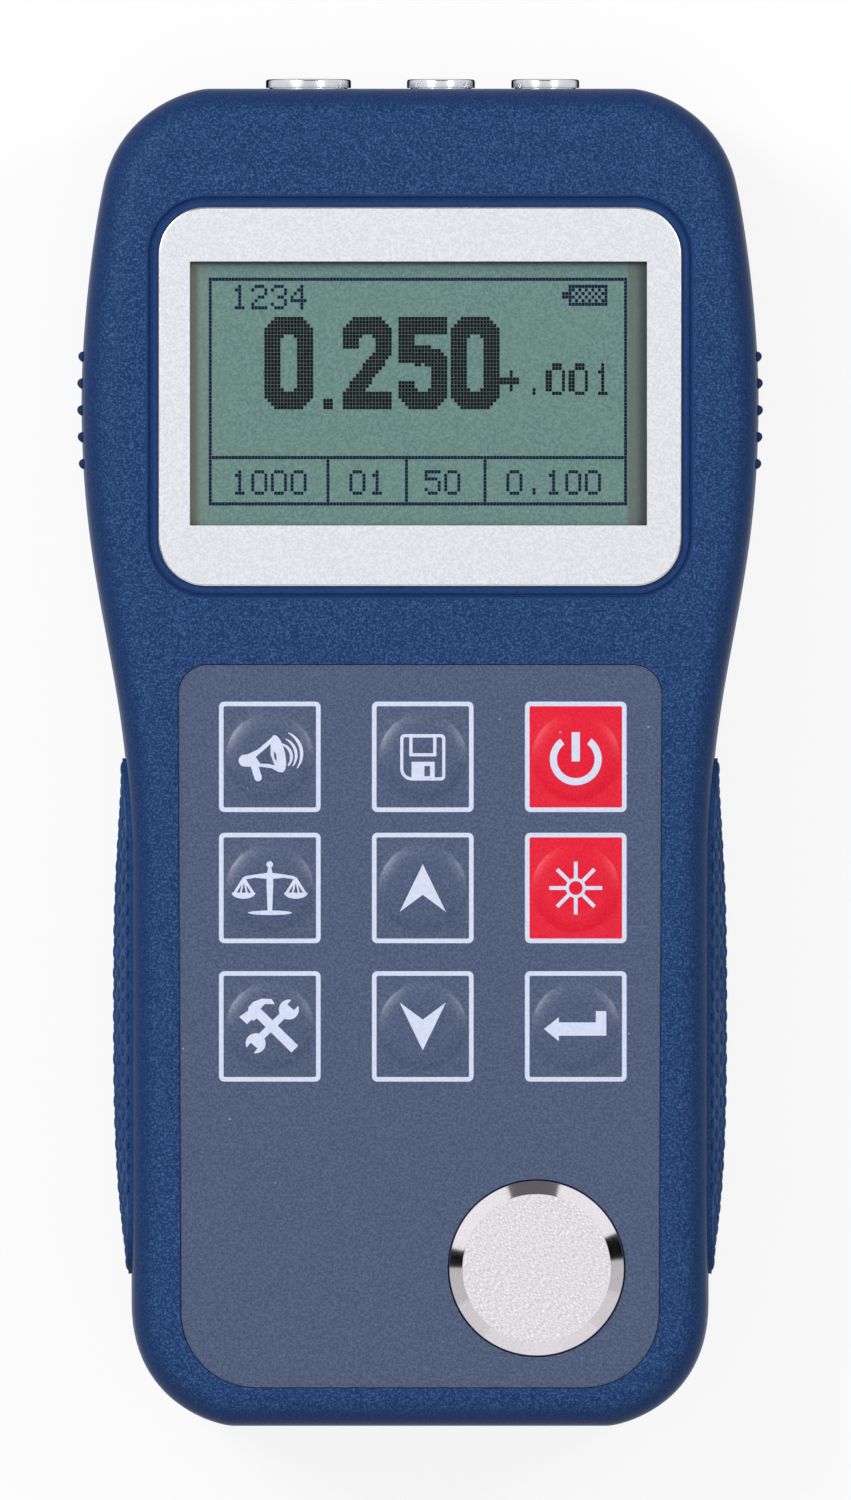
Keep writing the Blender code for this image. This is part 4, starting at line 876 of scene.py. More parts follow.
ZINC = plain_finish("zinc_screw", srgb(176, 177, 172), srgb(196, 197, 192), 0.3, 1.0)
SLEEVE = plain_finish("cell_wrap", srgb(48, 50, 55), srgb(56, 58, 63), 0.3, scale=500.0,
                      bump=0.04)
BOARD = plain_finish("board_green", srgb(26, 96, 56), srgb(34, 108, 64), 0.35)
RESIN = plain_finish("black_plastic", srgb(30, 30, 32), srgb(42, 42, 44), 0.5)
SPACER = plain_finish("spacer_film", srgb(214, 208, 188), srgb(224, 218, 198), 0.55)
LIGHT_BLOCK = plain_finish("light_guide", srgb(228, 232, 222), srgb(238, 241, 232), 0.4)


# Shells
def side_ribs(name):
    """Return the ribs on both sides of the head, as one shape."""
    shape = bmesh.new()
    stretch = RIB_LENGTH / 2 - RIB_RADIUS
    for i in range(RIB_COUNT):
        y = TOP_Y - RIB_DROP - (i - (RIB_COUNT - 1) / 2) * RIB_PITCH
        x = side_at(y) + RIB_PROUD - RIB_RADIUS
        for side in (-1, 1):
            made = bmesh.ops.create_uvsphere(shape, u_segments=24, v_segments=16,
                                             radius=RIB_RADIUS)
            for vert in made["verts"]:
                if abs(vert.co.z) > 1e-7:
                    vert.co.z += math.copysign(stretch, vert.co.z)
                vert.co += Vector((side * x, y, SPLIT_HEIGHT))
    return mesh_from(name, shape)


def grip_slab(name, side, grow=0.0):
    """Return the grip outline extruded through one side wall."""
    outline = rectangle(GRIP_Y, SPLIT_HEIGHT, GRIP_SIZE, GRIP_CORNER, grow)
    near, far = WAIST_HALF - 4 * WALL, WAIST_HALF + OVERRUN
    low, high = (near, far) if side > 0 else (-far, -near)
    return slab(name, [outline], low, high, ON_SIDE)


def grip_pocket(name, side):
    """Return the pocket that one grip sits in."""
    return carve(grip_slab(name, side, SEAM),
                 inner_form("pocket_floor", GRIP_SEAT + GAP, 0.0, BODY_DEPTH))


def socket_holes(name):
    """Return the bars that open the top wall for the three sockets."""
    return bars(name, [(Matrix.Translation((x, TOP_Y, SPLIT_HEIGHT)) @ LYING,
                        radius - SOCKET_NECK + SOCKET_CLEARANCE) for _, x, radius in SOCKETS],
                4 * WALL)


def screw_bars(name, radius, low, high):
    """Return upright bars at the four case screws."""
    return bars(name, [(Matrix.Translation((*spot, (low + high) / 2)), radius)
                       for spot in CASE_SCREWS], high - low)


def lip_ring(name, outer_inset, inner_inset, low, high):
    """Return a ring along the head's inner wall, clear of the grips."""
    ring = carve(inner_form(name, outer_inset, low, high),
                 inner_form("ring_inside", inner_inset, low - 0.5 * MM, high + 0.5 * MM))
    clip_y = GRIP_Y + GRIP_SIZE[0] / 2 + 5 * GAP
    return carve(ring, box("ring_clip", (-1.0, -1.0, -1.0), (1.0, clip_y, 1.0)))


def surround_tool(name):
    """Return the trough around the bezel, with its floor, bead, groove and rolled edge."""
    rings = [at_height(bezel_outline(reach), BODY_DEPTH - depth)
             for reach, depth in SURROUND_PROFILE]
    return loft(name, rings)


def mark_smooth(piece):
    """Give the trough around the bezel the smooth finish."""
    border = SURROUND_PROFILE[-1][0]
    reach = (BEZEL_SIZE[0] / 2 + border, BEZEL_SIZE[1] / 2 + border)
    for face in piece.data.polygons:
        centre = face.center
        near = abs(centre.x) < reach[0] and abs(centre.y - BEZEL_Y) < reach[1]
        low = BODY_DEPTH - 2 * FRONT_WALL < centre.z < BODY_DEPTH - 0.005 * MM
        face.material_index = 1 if near and low else 0


def front_case():
    """Make the fine front shell."""
    shell = carve(case_form("front_case"), side_ribs("front_ribs"), 'UNION')
    shell = carve(shell, half_space("below", -1.0, SPLIT_HEIGHT + GAP / 2))
    ceiling = FILM_TOP - CAVITY_DROP
    shell = carve(shell, inner_form("front_cavity", WALL, -1.0, ceiling))
    shell = carve(shell, surround_tool("surround"))
    shell = carve(shell, slab("bezel_pocket", [bezel_outline(SEAM / 2)],
                              BODY_DEPTH - BEZEL_POCKET, BODY_DEPTH + WALL))
    frame_loop = rectangle(0.0, BEZEL_Y, FRAME_SIZE, MM, GAP)
    shell = carve(shell, slab("display_opening", [frame_loop], ceiling - WALL, BODY_DEPTH))
    shell = carve(shell, slab("film_recess", [film_outline(SEAM)], BODY_DEPTH - FILM_RECESS,
                              BODY_DEPTH + WALL))
    shell = carve(shell, socket_holes("notches"))
    for side in (-1, 1):
        shell = carve(shell, grip_pocket("pocket", side))
    shell = carve(shell, lip_ring("rebate", WALL - TONGUE_THICK - GAP, 2 * WALL, 0.0,
                                  SPLIT_HEIGHT + TONGUE_HEIGHT + GAP))
    mark_smooth(shell)
    dress(shell, "housing", "blue_plastic", BLUE, BLUE_SMOOTH, replaces=["front_shell"])


def door_outline(grow=0.0):
    """Return the door's outline, run on past the foot of the case."""
    a = DOOR_HALF + grow
    top = DOOR_TOP_Y + grow
    foot = FOOT_Y - OVERRUN
    radii = [DOOR_CORNER] * 2 + [DOOR_CORNER + grow] * 2
    return rounded([(-a, foot), (a, foot), (a, top), (-a, top)], radii, 8)


def rear_case():
    """Make the fine rear shell with its cell bay, door track and screw seats."""
    shell = carve(case_form("rear_case"), side_ribs("rear_ribs"), 'UNION')
    shell = carve(shell, half_space("above", SPLIT_HEIGHT - GAP / 2, 1.0))
    shell = carve(shell, inner_form("rear_cavity", WALL, WALL, 1.0))
    track = DOOR_THICK + GAP
    deck = DOOR_HALF + TONGUE_REACH + GAP + WALL
    ceiling = CELL_Z + CELL_RADIUS + GAP
    shell = carve(shell, box("deck", (-deck, FOOT_Y + EDGE_RADIUS / 2, WALL / 2),
                             (deck, DOOR_TOP_Y + WALL, track + DECK_THICK)), 'UNION')
    shell = carve(shell, box("bay_block", (-BAY_HALF - BAY_WALL, FOOT_Y + WALL, track),
                             (BAY_HALF + BAY_WALL, BAY_TOP_Y + BAY_WALL, ceiling + BAY_WALL)),
                  'UNION')
    shell = carve(shell, screw_bars("posts", SCREW_HEAD_RADIUS + GAP + POST_WALL, WALL / 2,
                                    SPLIT_HEIGHT - GAP / 2), 'UNION')
    shell = carve(shell, box("bay", (-BAY_HALF, FOOT_Y + BAY_RISE, -1.0),
                             (BAY_HALF, BAY_TOP_Y, ceiling)))
    shell = carve(shell, slab("door_pocket", [door_outline(GAP)], -OVERRUN, track))
    rail = DOOR_HALF + TONGUE_REACH + GAP
    shell = carve(shell, box("rails", (-rail, FOOT_Y - OVERRUN, DOOR_THICK - RAIL_THICK - GAP),
                             (rail, DOOR_TOP_Y - 2 * DOOR_CORNER + GAP, track - RAIL_SLACK)))
    shell = carve(shell, screw_bars("seats", SCREW_HEAD_RADIUS + GAP, -OVERRUN, SCREW_SEAT))
    shell = carve(shell, screw_bars("holes", SCREW_RADIUS + GAP, -OVERRUN, BODY_DEPTH))
    shell = carve(shell, socket_holes("notches"))
    for side in (-1, 1):
        shell = carve(shell, grip_pocket("pocket", side))
    tongue = lip_ring("tongue", WALL - TONGUE_THICK, WALL + 0.1 * MM,
                      SPLIT_HEIGHT - 2 * TONGUE_HEIGHT, SPLIT_HEIGHT + TONGUE_HEIGHT)
    shell = carve(shell, carve(tongue, socket_holes("notches")), 'UNION')
    dress(shell, "housing", "blue_plastic", BLUE, replaces=["rear_shell"])


def battery_door():
    """Make the fine sliding door with its thumb grooves."""
    door = carve(case_form("door"), slab("blank", [door_outline()], -OVERRUN, DOOR_THICK),
                 'INTERSECT')
    reach = DOOR_HALF + TONGUE_REACH
    door = carve(door, box("tongues", (-reach, FOOT_Y + EDGE_RADIUS, DOOR_THICK - RAIL_THICK),
                           (reach, DOOR_TOP_Y - 2 * DOOR_CORNER, DOOR_THICK - RAIL_SLACK)),
                 'UNION')
    lying = Matrix.Rotation(math.pi / 2, 4, 'Y')
    rows = [(Matrix.Translation((0.0, DOOR_TOP_Y - 4 * THUMB_PITCH - i * THUMB_PITCH, 0.0)) @ lying,
             THUMB_PITCH / 4) for i in range(THUMB_GROOVES)]
    door = carve(door, bars("grooves", rows, THUMB_WIDTH, 24))
    dress(door, "battery_door", "blue_plastic", BLUE, replaces=["battery_door"])


def grip_skin():
    """Return the case outline swollen out to the crowned faces of both grips."""
    rings = []
    for k in range(GRIP_RINGS + 1):
        across = 2 * k / GRIP_RINGS - 1
        z = SPLIT_HEIGHT + across * (GRIP_SIZE[1] / 2 + 2 * GAP)
        crown = math.cos(across * math.pi / 2)
        ring = []
        for x, y in case_outline():
            along = min(1.0, abs(y - GRIP_Y) / (GRIP_SIZE[0] / 2))
            full = crown * (1 - along ** GRIP_FULLNESS)
            swell = GRIP_EDGE + GRIP_BULGE * full - BUMP_PROUD * 0.9 * min(1.0, 4 * full)
            ring.append((x + math.copysign(swell, x), y, z))
        rings.append(ring)
    return loft("skin", rings)


def grips():
    """Make both grips with their raised bumps."""
    bumps = bump_tree()
    for side, name in ((-1, "grip_left"), (1, "grip_right")):
        pad = carve(grip_slab(name + "_pad", side), grip_skin(), 'INTERSECT')
        pad = carve(pad, inner_form("seat", GRIP_SEAT, 0.0, BODY_DEPTH))
        places, facing = bump_places(pad, side)
        pad = dress(pad, "housing", "grip_rubber", RUBBER, replaces=[name], weighted=False)
        cloud = bpy.data.meshes.new(name + "_points")
        cloud.from_pydata(places, [], [])
        layer = cloud.attributes.new("facing", 'FLOAT_VECTOR', 'POINT')
        layer.data.foreach_set("vector", [v for normal in facing for v in normal])
        piece = grown(name + "_bumps", cloud, bumps, {"Radius": BUMP_RADIUS,
                                                      "Height": BUMP_PROUD, "Finish": RUBBER})
        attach(piece, "housing")


def bump_places(pad, side):
    """Return staggered places on a pad's outer face, and the way each faces."""
    shape = bmesh.new()
    shape.from_mesh(pad.data)
    skin = BVHTree.FromBMesh(shape)
    shape.free()
    places = []
    facing = []
    half_y = GRIP_SIZE[0] / 2 - BUMP_MARGIN
    half_z = GRIP_SIZE[1] / 2 - BUMP_MARGIN
    corner = GRIP_CORNER - BUMP_MARGIN
    rows = int(2 * half_z / BUMP_ROW)
    for row in range(rows + 1):
        z = (row - rows / 2) * BUMP_ROW
        count = int(2 * half_y / BUMP_PITCH) + 1
        for k in range(-count, count + 1):
            y = (k + 0.5 * (row % 2)) * BUMP_PITCH
            past = Vector((max(0.0, abs(y) - half_y + corner), max(0.0, abs(z) - half_z + corner)))
            if abs(y) > half_y or abs(z) > half_z or past.length > corner:
                continue
            start = Vector((side * 0.1, GRIP_Y + y, SPLIT_HEIGHT + z))
            hit, normal, _, _ = skin.ray_cast(start, Vector((-side, 0, 0)))
            if hit is not None:
                places.append(hit)
                facing.append(normal)
    return places, facing


# Display
def bezel():
    """Make the bezel with its rolled rim and its window."""
    rings = [at_height(bezel_outline(), BEZEL_LOW.z)]
    for angle in quarter(8):
        rings.append(at_height(bezel_outline(-BEZEL_ROLL[0] * (1 - math.cos(angle))),
                               BEZEL_HIGH.z - BEZEL_ROLL[1] * (1 - math.sin(angle))))
    plate = carve(loft("bezel", rings), slab("window", [window_outline()], BEZEL_LOW.z - WALL,
                                             BEZEL_HIGH.z + WALL))
    for face in plate.data.polygons:
        lean = face.normal.z
        face.material_index = 1 if 0.02 < lean < 0.97 and face.center.z > BEZEL_LOW.z else 0
    dress(plate, "housing", "satin_silver", SILVER, BRIGHT_EDGE, replaces=["display_bezel"])


def display():
    """Make the window, the display's face and the dots on it."""
    lens_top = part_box("display_lens")[1].z
    lens = slab("window_sheet", [bezel_outline()], lens_top - LENS_SKIN, lens_top)
    dress(lens, "housing", "clear_window", CLEAR, replaces=["display_lens"], weighted=False)
    face_top = lens_top - FACE_DROP
    face = slab("display_face", [window_outline(GAP)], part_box("display_glass")[1].z + GAP, face_top)
    dress(face, "housing", "display_glass", CRYSTAL, weighted=False)
    dots = dot_tree()
    for name, marks, finish in (("display_digits", digit_dots(), DIGIT),
                                ("display_lines", line_dots(), LINE)):
        cloud = bpy.data.meshes.new(name + "_points")
        cloud.from_pydata([(DOTS_X + (column + 0.5) * DOT_PITCH[0],
                            DOTS_TOP - (row + 0.5) * DOT_PITCH[1], face_top + DOT_LIFT)
                           for column, row in sorted(marks)], [], [])
        piece = grown(name, cloud, dots, {"Width": DOT_SIZE[0], "Length": DOT_SIZE[1],
                                          "Finish": finish})
        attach(piece, "housing")


SMALL_FONT = {
    "0": "01110 10001 10001 10001 10001 10001 01110",
    "1": "00100 01100 00100 00100 00100 00100 01110",
    "2": "01110 10001 00001 00110 01000 10000 11111",
    "3": "01110 10001 00001 00110 00001 10001 01110",
    "4": "00010 00110 01010 10010 11111 00010 00010",
    "5": "11111 10000 11110 00001 00001 10001 01110",
    ".": "00000 00000 00000 00000 00000 00100 00100",
    "+": "00000 00100 00100 11111 00100 00100 00000"}


def small_text(text, column, row, size=(5, 7)):
    """Return the dots of a short number in the small dot font."""
    marks = set()
    for k, letter in enumerate(text):
        rows = SMALL_FONT[letter].split()
        for i in range(size[1]):
            for j in range(size[0]):
                if rows[i * 7 // size[1]][j * 5 // size[0]] == "1":
                    marks.add((column + k * (size[0] + 1) + j, row + i))
    return marks


def line_dots():
    """Return the dots of the display's frame, dividers, small numbers and battery sign."""
    marks = set()
    for column in range(DOT_COLUMNS):
        marks.update({(column, 0), (column, DIVIDER_ROW), (column, DOT_ROWS - 1)})
    for row in range(DOT_ROWS):
        marks.update({(0, row), (DOT_COLUMNS - 1, row)})
    for column in DIVIDER_COLUMNS:
        marks.update({(column, row) for row in range(DIVIDER_ROW, DOT_ROWS)})
    for text, column, row in SMALL_NUMBERS:
        marks |= small_text(text, column, row)
    columns, rows = CELL_SIGN
    for row in rows:
        for column in columns:
            edge = row in (rows[0], rows[-1]) or column in (columns[0], columns[-1])
            if edge or (row + column) % 2 == 0:
                marks.add((column, row))
    marks |= {(columns[0] - k, rows[2] + i) for k in (1, 2) for i in (0, 1)}
    return marks


def in_pane(u, v, left, top, right, foot, corner):
    """Tell whether a dot lies in a rounded pane, in dots from the top left."""
    past = Vector((max(0.0, left + corner - u, u - right + corner),
                   max(0.0, top + corner - v, v - foot + corner)))
    return left <= u <= right and top <= v <= foot and past.length <= corner


def in_ring(u, v, top, foot):
    """Tell whether a dot lies on a round-cornered ring as wide as a figure."""
    width, stroke = FIGURE_SIZE[0], FIGURE_STROKE
    return (in_pane(u, v, 0, top, width, foot, 5.2)
            and not in_pane(u, v, stroke, top + stroke, width - stroke, foot - stroke, 1.9))


def in_figure(mark, u, v):
    """Tell whether a dot belongs to a large figure, counted from its top left."""
    height, stroke = FIGURE_SIZE[1], FIGURE_STROKE
    if mark == "0":
        return in_ring(u, v, 0, height)
    if mark == "2":
        bow = in_ring(u, v, 0, 19) and v < 11 and not (u < stroke and v > 8.5)
        slope = 10 < v < 22 and abs(u - 12.4 + (v - 10) * 0.82) < 3.1
        return bow or slope or v > height - stroke
    stem = u < stroke and v < 13
    bow = in_ring(u, v, 8.5, height) and not (u < stroke and 12.9 < v < 18)
    return v < stroke or stem or bow


def digit_dots():
    """Return the dots of the large number, its point and the small number beside it."""
    marks = small_text("+.001", 89, 24, (6, 9))
    for figure, first in FIGURES:
        for column in range(FIGURE_SIZE[0]):
            for row in range(FIGURE_SIZE[1]):
                if in_figure(figure, column + 0.5, row + 0.5):
                    marks.add((first + column, FIGURE_ROW + row))
    marks |= {(column, row) for column in (35, 36, 37) for row in (34, 35, 36)}
    return marks


# Keypad
def edge_radius(angle, half, corner):
    """Return how far the key outline lies from its middle in a direction."""
    c = abs(math.cos(angle))
    s = abs(math.sin(angle))
    reach = min(half[0] / max(c, 1e-9), half[1] / max(s, 1e-9))
    a = half[0] - corner
    b = half[1] - corner
    if reach * c > a and reach * s > b:
        along = a * c + b * s
        reach = along + math.sqrt(max(0.0, along * along - a * a - b * b + corner * corner))
    return reach


def key_angles():
    """Return the directions of the key mesh, closer together at the corners."""
    angles = {round(math.tau * i / 112, 6) for i in range(112)}
    a, b = KEY_HALF
    low = math.atan2(b - KEY_CORNER, a)
    high = math.atan2(b, a - KEY_CORNER)
    for k in range(8):
        one = low + (high - low) * k / 7
        angles |= {round(v % math.tau, 6) for v in (one, math.pi - one, math.pi + one, -one)}
    return sorted(angles)


KEY_ANGLES = key_angles()


def key_loop(x, y, inset=0.0):
    """Return the key outline around its middle, drawn in by the inset."""
    half = (KEY_HALF[0] - inset, KEY_HALF[1] - inset)
    corner = max(KEY_CORNER - inset, 0.16 * MM)
    return [(x + edge_radius(a, half, corner) * math.cos(a),
             y + edge_radius(a, half, corner) * math.sin(a)) for a in KEY_ANGLES]


def pillow_rise(distance):
    """Return the pillow's height above the film at a distance from its middle."""
    t = min(1.0, max(0.0, (PILLOW_RADIUS - distance) / PILLOW_SLOPE))
    return PILLOW_HEIGHT * (1 - (1 - t) ** 2)


def key_middle(name):
    low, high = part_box("key_" + name)
    return (low.x + high.x) / 2, (low.y + high.y) / 2


def key_patch(name):
    """Make one key's patch of film with its outline and pillow."""
    x, y = key_middle(name)
    rings = [at_height(key_loop(x, y), FILM_TOP - FILM_THICK),
             at_height(key_loop(x, y), FILM_TOP),
             at_height(key_loop(x, y, OUTLINE_WIDTH), FILM_TOP)]
    radii = [PILLOW_RADIUS - PILLOW_SLOPE * k / PILLOW_RINGS for k in range(PILLOW_RINGS + 1)]
    for radius in radii + [PILLOW_CROWN]:
        rings.append([(x + radius * math.cos(a), y + radius * math.sin(a),
                       FILM_TOP + pillow_rise(radius)) for a in KEY_ANGLES])
    piece = loft(name + "_key", rings, marked=(1,))
    film = RED_FILM if name in RED_KEYS else FILM
    slot = "red_film" if name in RED_KEYS else "key_film"
    piece = dress(piece, None, slot, film, PRINT, replaces=["key_" + name], angle=50.0)
    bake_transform(piece)


def bar(start, end, width, round_ends=True):
    """Return the outline of a straight stroke."""
    a, b = Vector(start), Vector(end)
    angle = math.atan2(b.y - a.y, b.x - a.x)
    steps = 8 if round_ends else 1
    loop = []
    for centre, first in ((b, -math.pi / 2), (a, math.pi / 2)):
        for k in range(steps + 1):
            turn = angle + first + math.pi * k / steps
            loop.append((centre.x + width / 2 * math.cos(turn),
                         centre.y + width / 2 * math.sin(turn)))
    return loop


def arc(x, y, radius, width, first, last, steps=32, taper=0.0):
    """Return a curved stroke's outline, angles in degrees, its ends thinned by the taper."""
    outer = []
    inner = []
    for k in range(steps + 1):
        a = math.radians(first + (last - first) * k / steps)
        half = width / 2 * (1 - taper * (2 * k / steps - 1) ** 2)
        outer.append((x + (radius + half) * math.cos(a), y + (radius + half) * math.sin(a)))
        inner.append((x + (radius - half) * math.cos(a), y + (radius - half) * math.sin(a)))
    return outer + inner[::-1]


def pane(left, foot, right, top, radius=0.05):
    return rounded([(left, foot), (right, foot), (right, top), (left, top)], [radius] * 4, 4)


def ellipse(x, y, a, b, lean):
    """Return a leaning ellipse, lean in degrees."""
    t = math.radians(lean)
    return [(x + a * math.cos(u) * math.cos(t) - b * math.sin(u) * math.sin(t),
             y + a * math.cos(u) * math.sin(t) + b * math.sin(u) * math.cos(t))
            for u in (math.tau * i / 36 for i in range(36))]


def icon_shapes():
    """Return each key's printed sign in millimetres: outlines to add, then outlines to cut."""
    rays = [bar((1.0 * math.cos(a), 1.0 * math.sin(a)), (2.9 * math.cos(a), 2.9 * math.sin(a)),
                0.42, False) for a in (math.pi / 4 * i for i in range(8))]
    scale = [ellipse(0.02, -2.72, 2.42, 0.25, 0), circle(0.0, 2.58, 0.36, 24),
             [(-0.24, -2.6), (0.26, -2.6), (0.38, 0.3), (0.32, 1.5), (0.16, 2.3), (-0.16, 2.3),
              (-0.32, 1.5), (-0.36, 0.3)],
             [(-2.92, 0.92), (-1.6, 1.12), (-0.3, 1.0), (0.3, 1.0), (1.6, 1.12), (2.92, 0.92),
              (2.72, 1.3), (1.7, 1.46), (0.3, 1.66), (-0.3, 1.66), (-1.7, 1.46), (-2.72, 1.3)]]
    for side in (-1, 1):
        scale += [bar((side * 2.85, 1.05), (side * 3.88, -0.6), 0.3),
                  bar((side * 2.85, 1.05), (side * 1.82, -0.6), 0.3),
                  bar((side * 2.85, 1.05), (side * 3.2, -0.6), 0.2),
                  bar((side * 2.85, 1.05), (side * 2.5, -0.6), 0.2),
                  [(side * 2.87 + 1.3 * math.cos(u), -0.52 + 0.66 * math.sin(u))
                   for u in (math.pi + math.pi * i / 16 for i in range(17))]]
    hammer = [bar((-1.35, 1.55), (2.75, -2.5), 1.05, False),
              [(-3.35, 1.05), (-2.5, 0.25), (-2.0, 0.75), (-1.75, 0.6), (-0.85, 1.55), (-1.05, 1.9),
               (-0.55, 2.45), (0.55, 2.45), (0.2, 3.0), (-0.9, 3.05), (-1.8, 2.7), (-2.35, 2.1),
               (-2.35, 1.75)],
              bar((-1.35, -1.5), (2.0, 1.75), 0.8, False),
              circle(2.1, 1.85, 1.1, 32), circle(-1.55, -1.85, 1.1, 32)]
    jaws = [bar((2.3, 2.1), (4.0, 4.0), 0.98, False),
            bar((-1.72, -2.1), (-3.3, -4.0), 0.98, False)]
    horn = [circle(-2.76, -0.42, 0.66, 28),
            [(-2.9, 0.2), (-2.4, 0.3), (-1.3, 0.82), (0.1, 2.02), (0.4, 2.3), (1.2, -1.7),
             (0.9, -1.62), (0.2, -1.25), (-0.9, -1.1), (-2.7, -1.07)],
            ellipse(0.93, 0.34, 0.74, 2.1, 13), bar((-1.7, -0.9), (-1.28, -2.28), 0.82)]
    horn_cut = [[(-1.54, 0.0), (-0.8, 0.62), (0.08, 1.42), (0.1, 0.2), (0.56, -0.96), (0.0, -0.8),
                 (-1.05, -0.74)],
                ellipse(0.6, 0.07, 0.13, 0.48, 10)]
    waves = [arc(0.95, 0.0, 1.43, 0.34, -42, 76, taper=0.5),
             arc(0.9, 0.15, 2.0, 0.34, -36, 66, taper=0.75),
             arc(0.9, 0.3, 2.6, 0.38, -37, 64, taper=0.75)]
    case = rounded([(-2.48, -2.6), (2.48, -2.6), (2.48, 2.5), (-2.48, 2.5)],
                   [1.3, 0.5, 0.5, 0.5], 8)
    hollow = rounded([(-2.13, -2.25), (2.13, -2.25), (2.13, 2.15), (-2.13, 2.15)],
                     [0.95, 0.2, 0.2, 0.2], 8)
    return {
        "alarm": (horn + waves, horn_cut),
        "memory": ([case], [hollow]),
        "power": ([arc(0.0, -0.27, 2.46, 0.78, 127, 413, 60), pane(-0.45, -0.5, 0.45, 2.7)], []),
        "calibrate": (scale, []),
        "up": ([[(0.0, 2.63), (-2.54, -2.63), (0.0, -0.75), (2.54, -2.63)]], []),
        "backlight": (rays + [circle(0.0, 0.0, 1.1, 48)], [circle(0.0, 0.0, 0.76, 48)]),
        "setup": (hammer, jaws),
        "down": ([[(0.0, -2.63), (2.54, 2.63), (0.0, 0.75), (-2.54, 2.63)]], []),
        "enter": ([[(-3.5, -0.28), (-1.86, -1.62), (-1.86, -1.02), (3.35, -1.02), (3.35, 1.68),
                    (2.2, 1.68), (2.2, 0.44), (-1.86, 0.44), (-1.86, 1.0)]], [])}


def lay_on_film(piece, x, y):
    """Scale a flat sign from millimetres and lay it over the key's pillow."""
    shape = bmesh.new()
    shape.from_mesh(piece.data)
    bmesh.ops.triangulate(shape, faces=shape.faces)
    for _ in range(5):
        long = [edge for edge in shape.edges if edge.calc_length() > PRINT_EDGE]
        if not long:
            break
        bmesh.ops.subdivide_edges(shape, edges=long, cuts=1)
        bmesh.ops.triangulate(shape, faces=shape.faces)
    for vert in shape.verts:
        px = x + vert.co.x * MM
        py = y + vert.co.y * MM
        rise = pillow_rise(math.hypot(px - x, py - y))
        lift = PRINT_LIFT if vert.co.z > 0.5 else -PRINT_LIFT
        vert.co = (px, py, FILM_TOP + rise + lift)
    bmesh.ops.recalc_face_normals(shape, faces=shape.faces)
    shape.to_mesh(piece.data)
    shape.free()


def stroke(loops, low=0.0, high=1.0, name="stroke"):
    """Make one flat stroke of a sign, in millimetres."""
    return slab(name, loops, low, high, merge=1e-5)


def key_sign(name, add_loops, cut_loops, extra=()):
    """Make one key's printed sign."""
    x, y = key_middle(name)
    piece = stroke([add_loops[0]], name=name + "_sign")
    for loop in add_loops[1:]:
        piece = carve(piece, stroke([loop]), 'UNION')
    for loop in cut_loops:
        piece = carve(piece, stroke([loop], -1.0, 2.0))
    for loop, hole in extra:
        piece = carve(piece, stroke([loop, hole]), 'UNION')
    lay_on_film(piece, x, y)
    piece = dress(piece, None, "key_film", PRINT, angle=60.0, weighted=False)
    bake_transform(piece)


def keypad():
    """Make the film with its keys and their signs."""
    holes = [key_loop(x, y) for x, y in map(key_middle, KEY_NAMES)]
    holes.append(circle(DISC_X, DISC_Y, DISC_RADIUS + GAP / 2, 96))
    film = slab("keypad_film", [film_outline()] + holes, FILM_LOW.z, FILM_TOP)
    dress(film, "housing", "grey_film", FILM, replaces=["keypad_overlay"], weighted=False)
    signs = icon_shapes()
    shutter = (pane(-1.49, 0.05, 1.5, 2.3), pane(-1.12, 0.4, 1.13, 2.12))
    label = (pane(-1.23, -2.4, 1.31, -0.54), pane(0.18, -2.14, 0.8, -1.0))
    for name in KEY_NAMES:
        key_patch(name)
        key_sign(name, *signs[name], extra=(shutter, label) if name == "memory" else ())


def zero_disc():
    """Make the steel disc with its polished bevel and ground face."""
    top = DISC_HIGH.z
    low = FILM_LOW.z - DISC_SINK
    roll = DISC_ROLL
    profile = [(0.0, top), (DISC_FACE_RADIUS - roll, top), (DISC_FACE_RADIUS + roll, top - roll),
               (DISC_RADIUS - roll, top - DISC_CHAMFER_DEPTH + roll),
               (DISC_RADIUS, top - DISC_CHAMFER_DEPTH - roll), (DISC_RADIUS, low),
               (DISC_STUB_RADIUS, low), (DISC_STUB_RADIUS, DISC_LOW.z), (0.0, DISC_LOW.z)]
    disc = turned("disc", profile, Matrix.Translation((DISC_X, DISC_Y, 0.0)), 128)
    for face in disc.data.polygons:
        face.material_index = 0 if face.center.z > top - roll / 4 else 1
    dress(disc, "housing", "ground_steel", STEEL_FACE, STEEL_RIM, replaces=["zero_disc"],
          angle=25.0)


def socket_shell(name, x, radius, bore):
    """Make one socket's plated shell with its open bore."""
    neck = radius - SOCKET_NECK
    flange = SOCKET_PROUD - SEAM
    profile = [(0.0, 0.0)]
    profile += [(radius - SOCKET_RIM * (1 - math.sin(a)), -SOCKET_RIM * (1 - math.cos(a)))
                for a in quarter(8)]
    profile += [(radius, -flange), (neck, -flange), (neck, -SOCKET_LENGTH), (0.0, -SOCKET_LENGTH)]
    turn = Matrix.Translation((x, TOP_Y + SOCKET_PROUD, SPLIT_HEIGHT)) @ LYING
    well = [(0.0, MM), (bore + SOCKET_MOUTH + MM, MM), (bore, -SOCKET_MOUTH),
            (bore, -SOCKET_BORE_DEPTH), (0.0, -SOCKET_BORE_DEPTH)]
    body = carve(turned(name + "_shell", profile, turn), turned("well", well, turn))
    dress(body, "housing", "nickel_plate", NICKEL, replaces=[name])


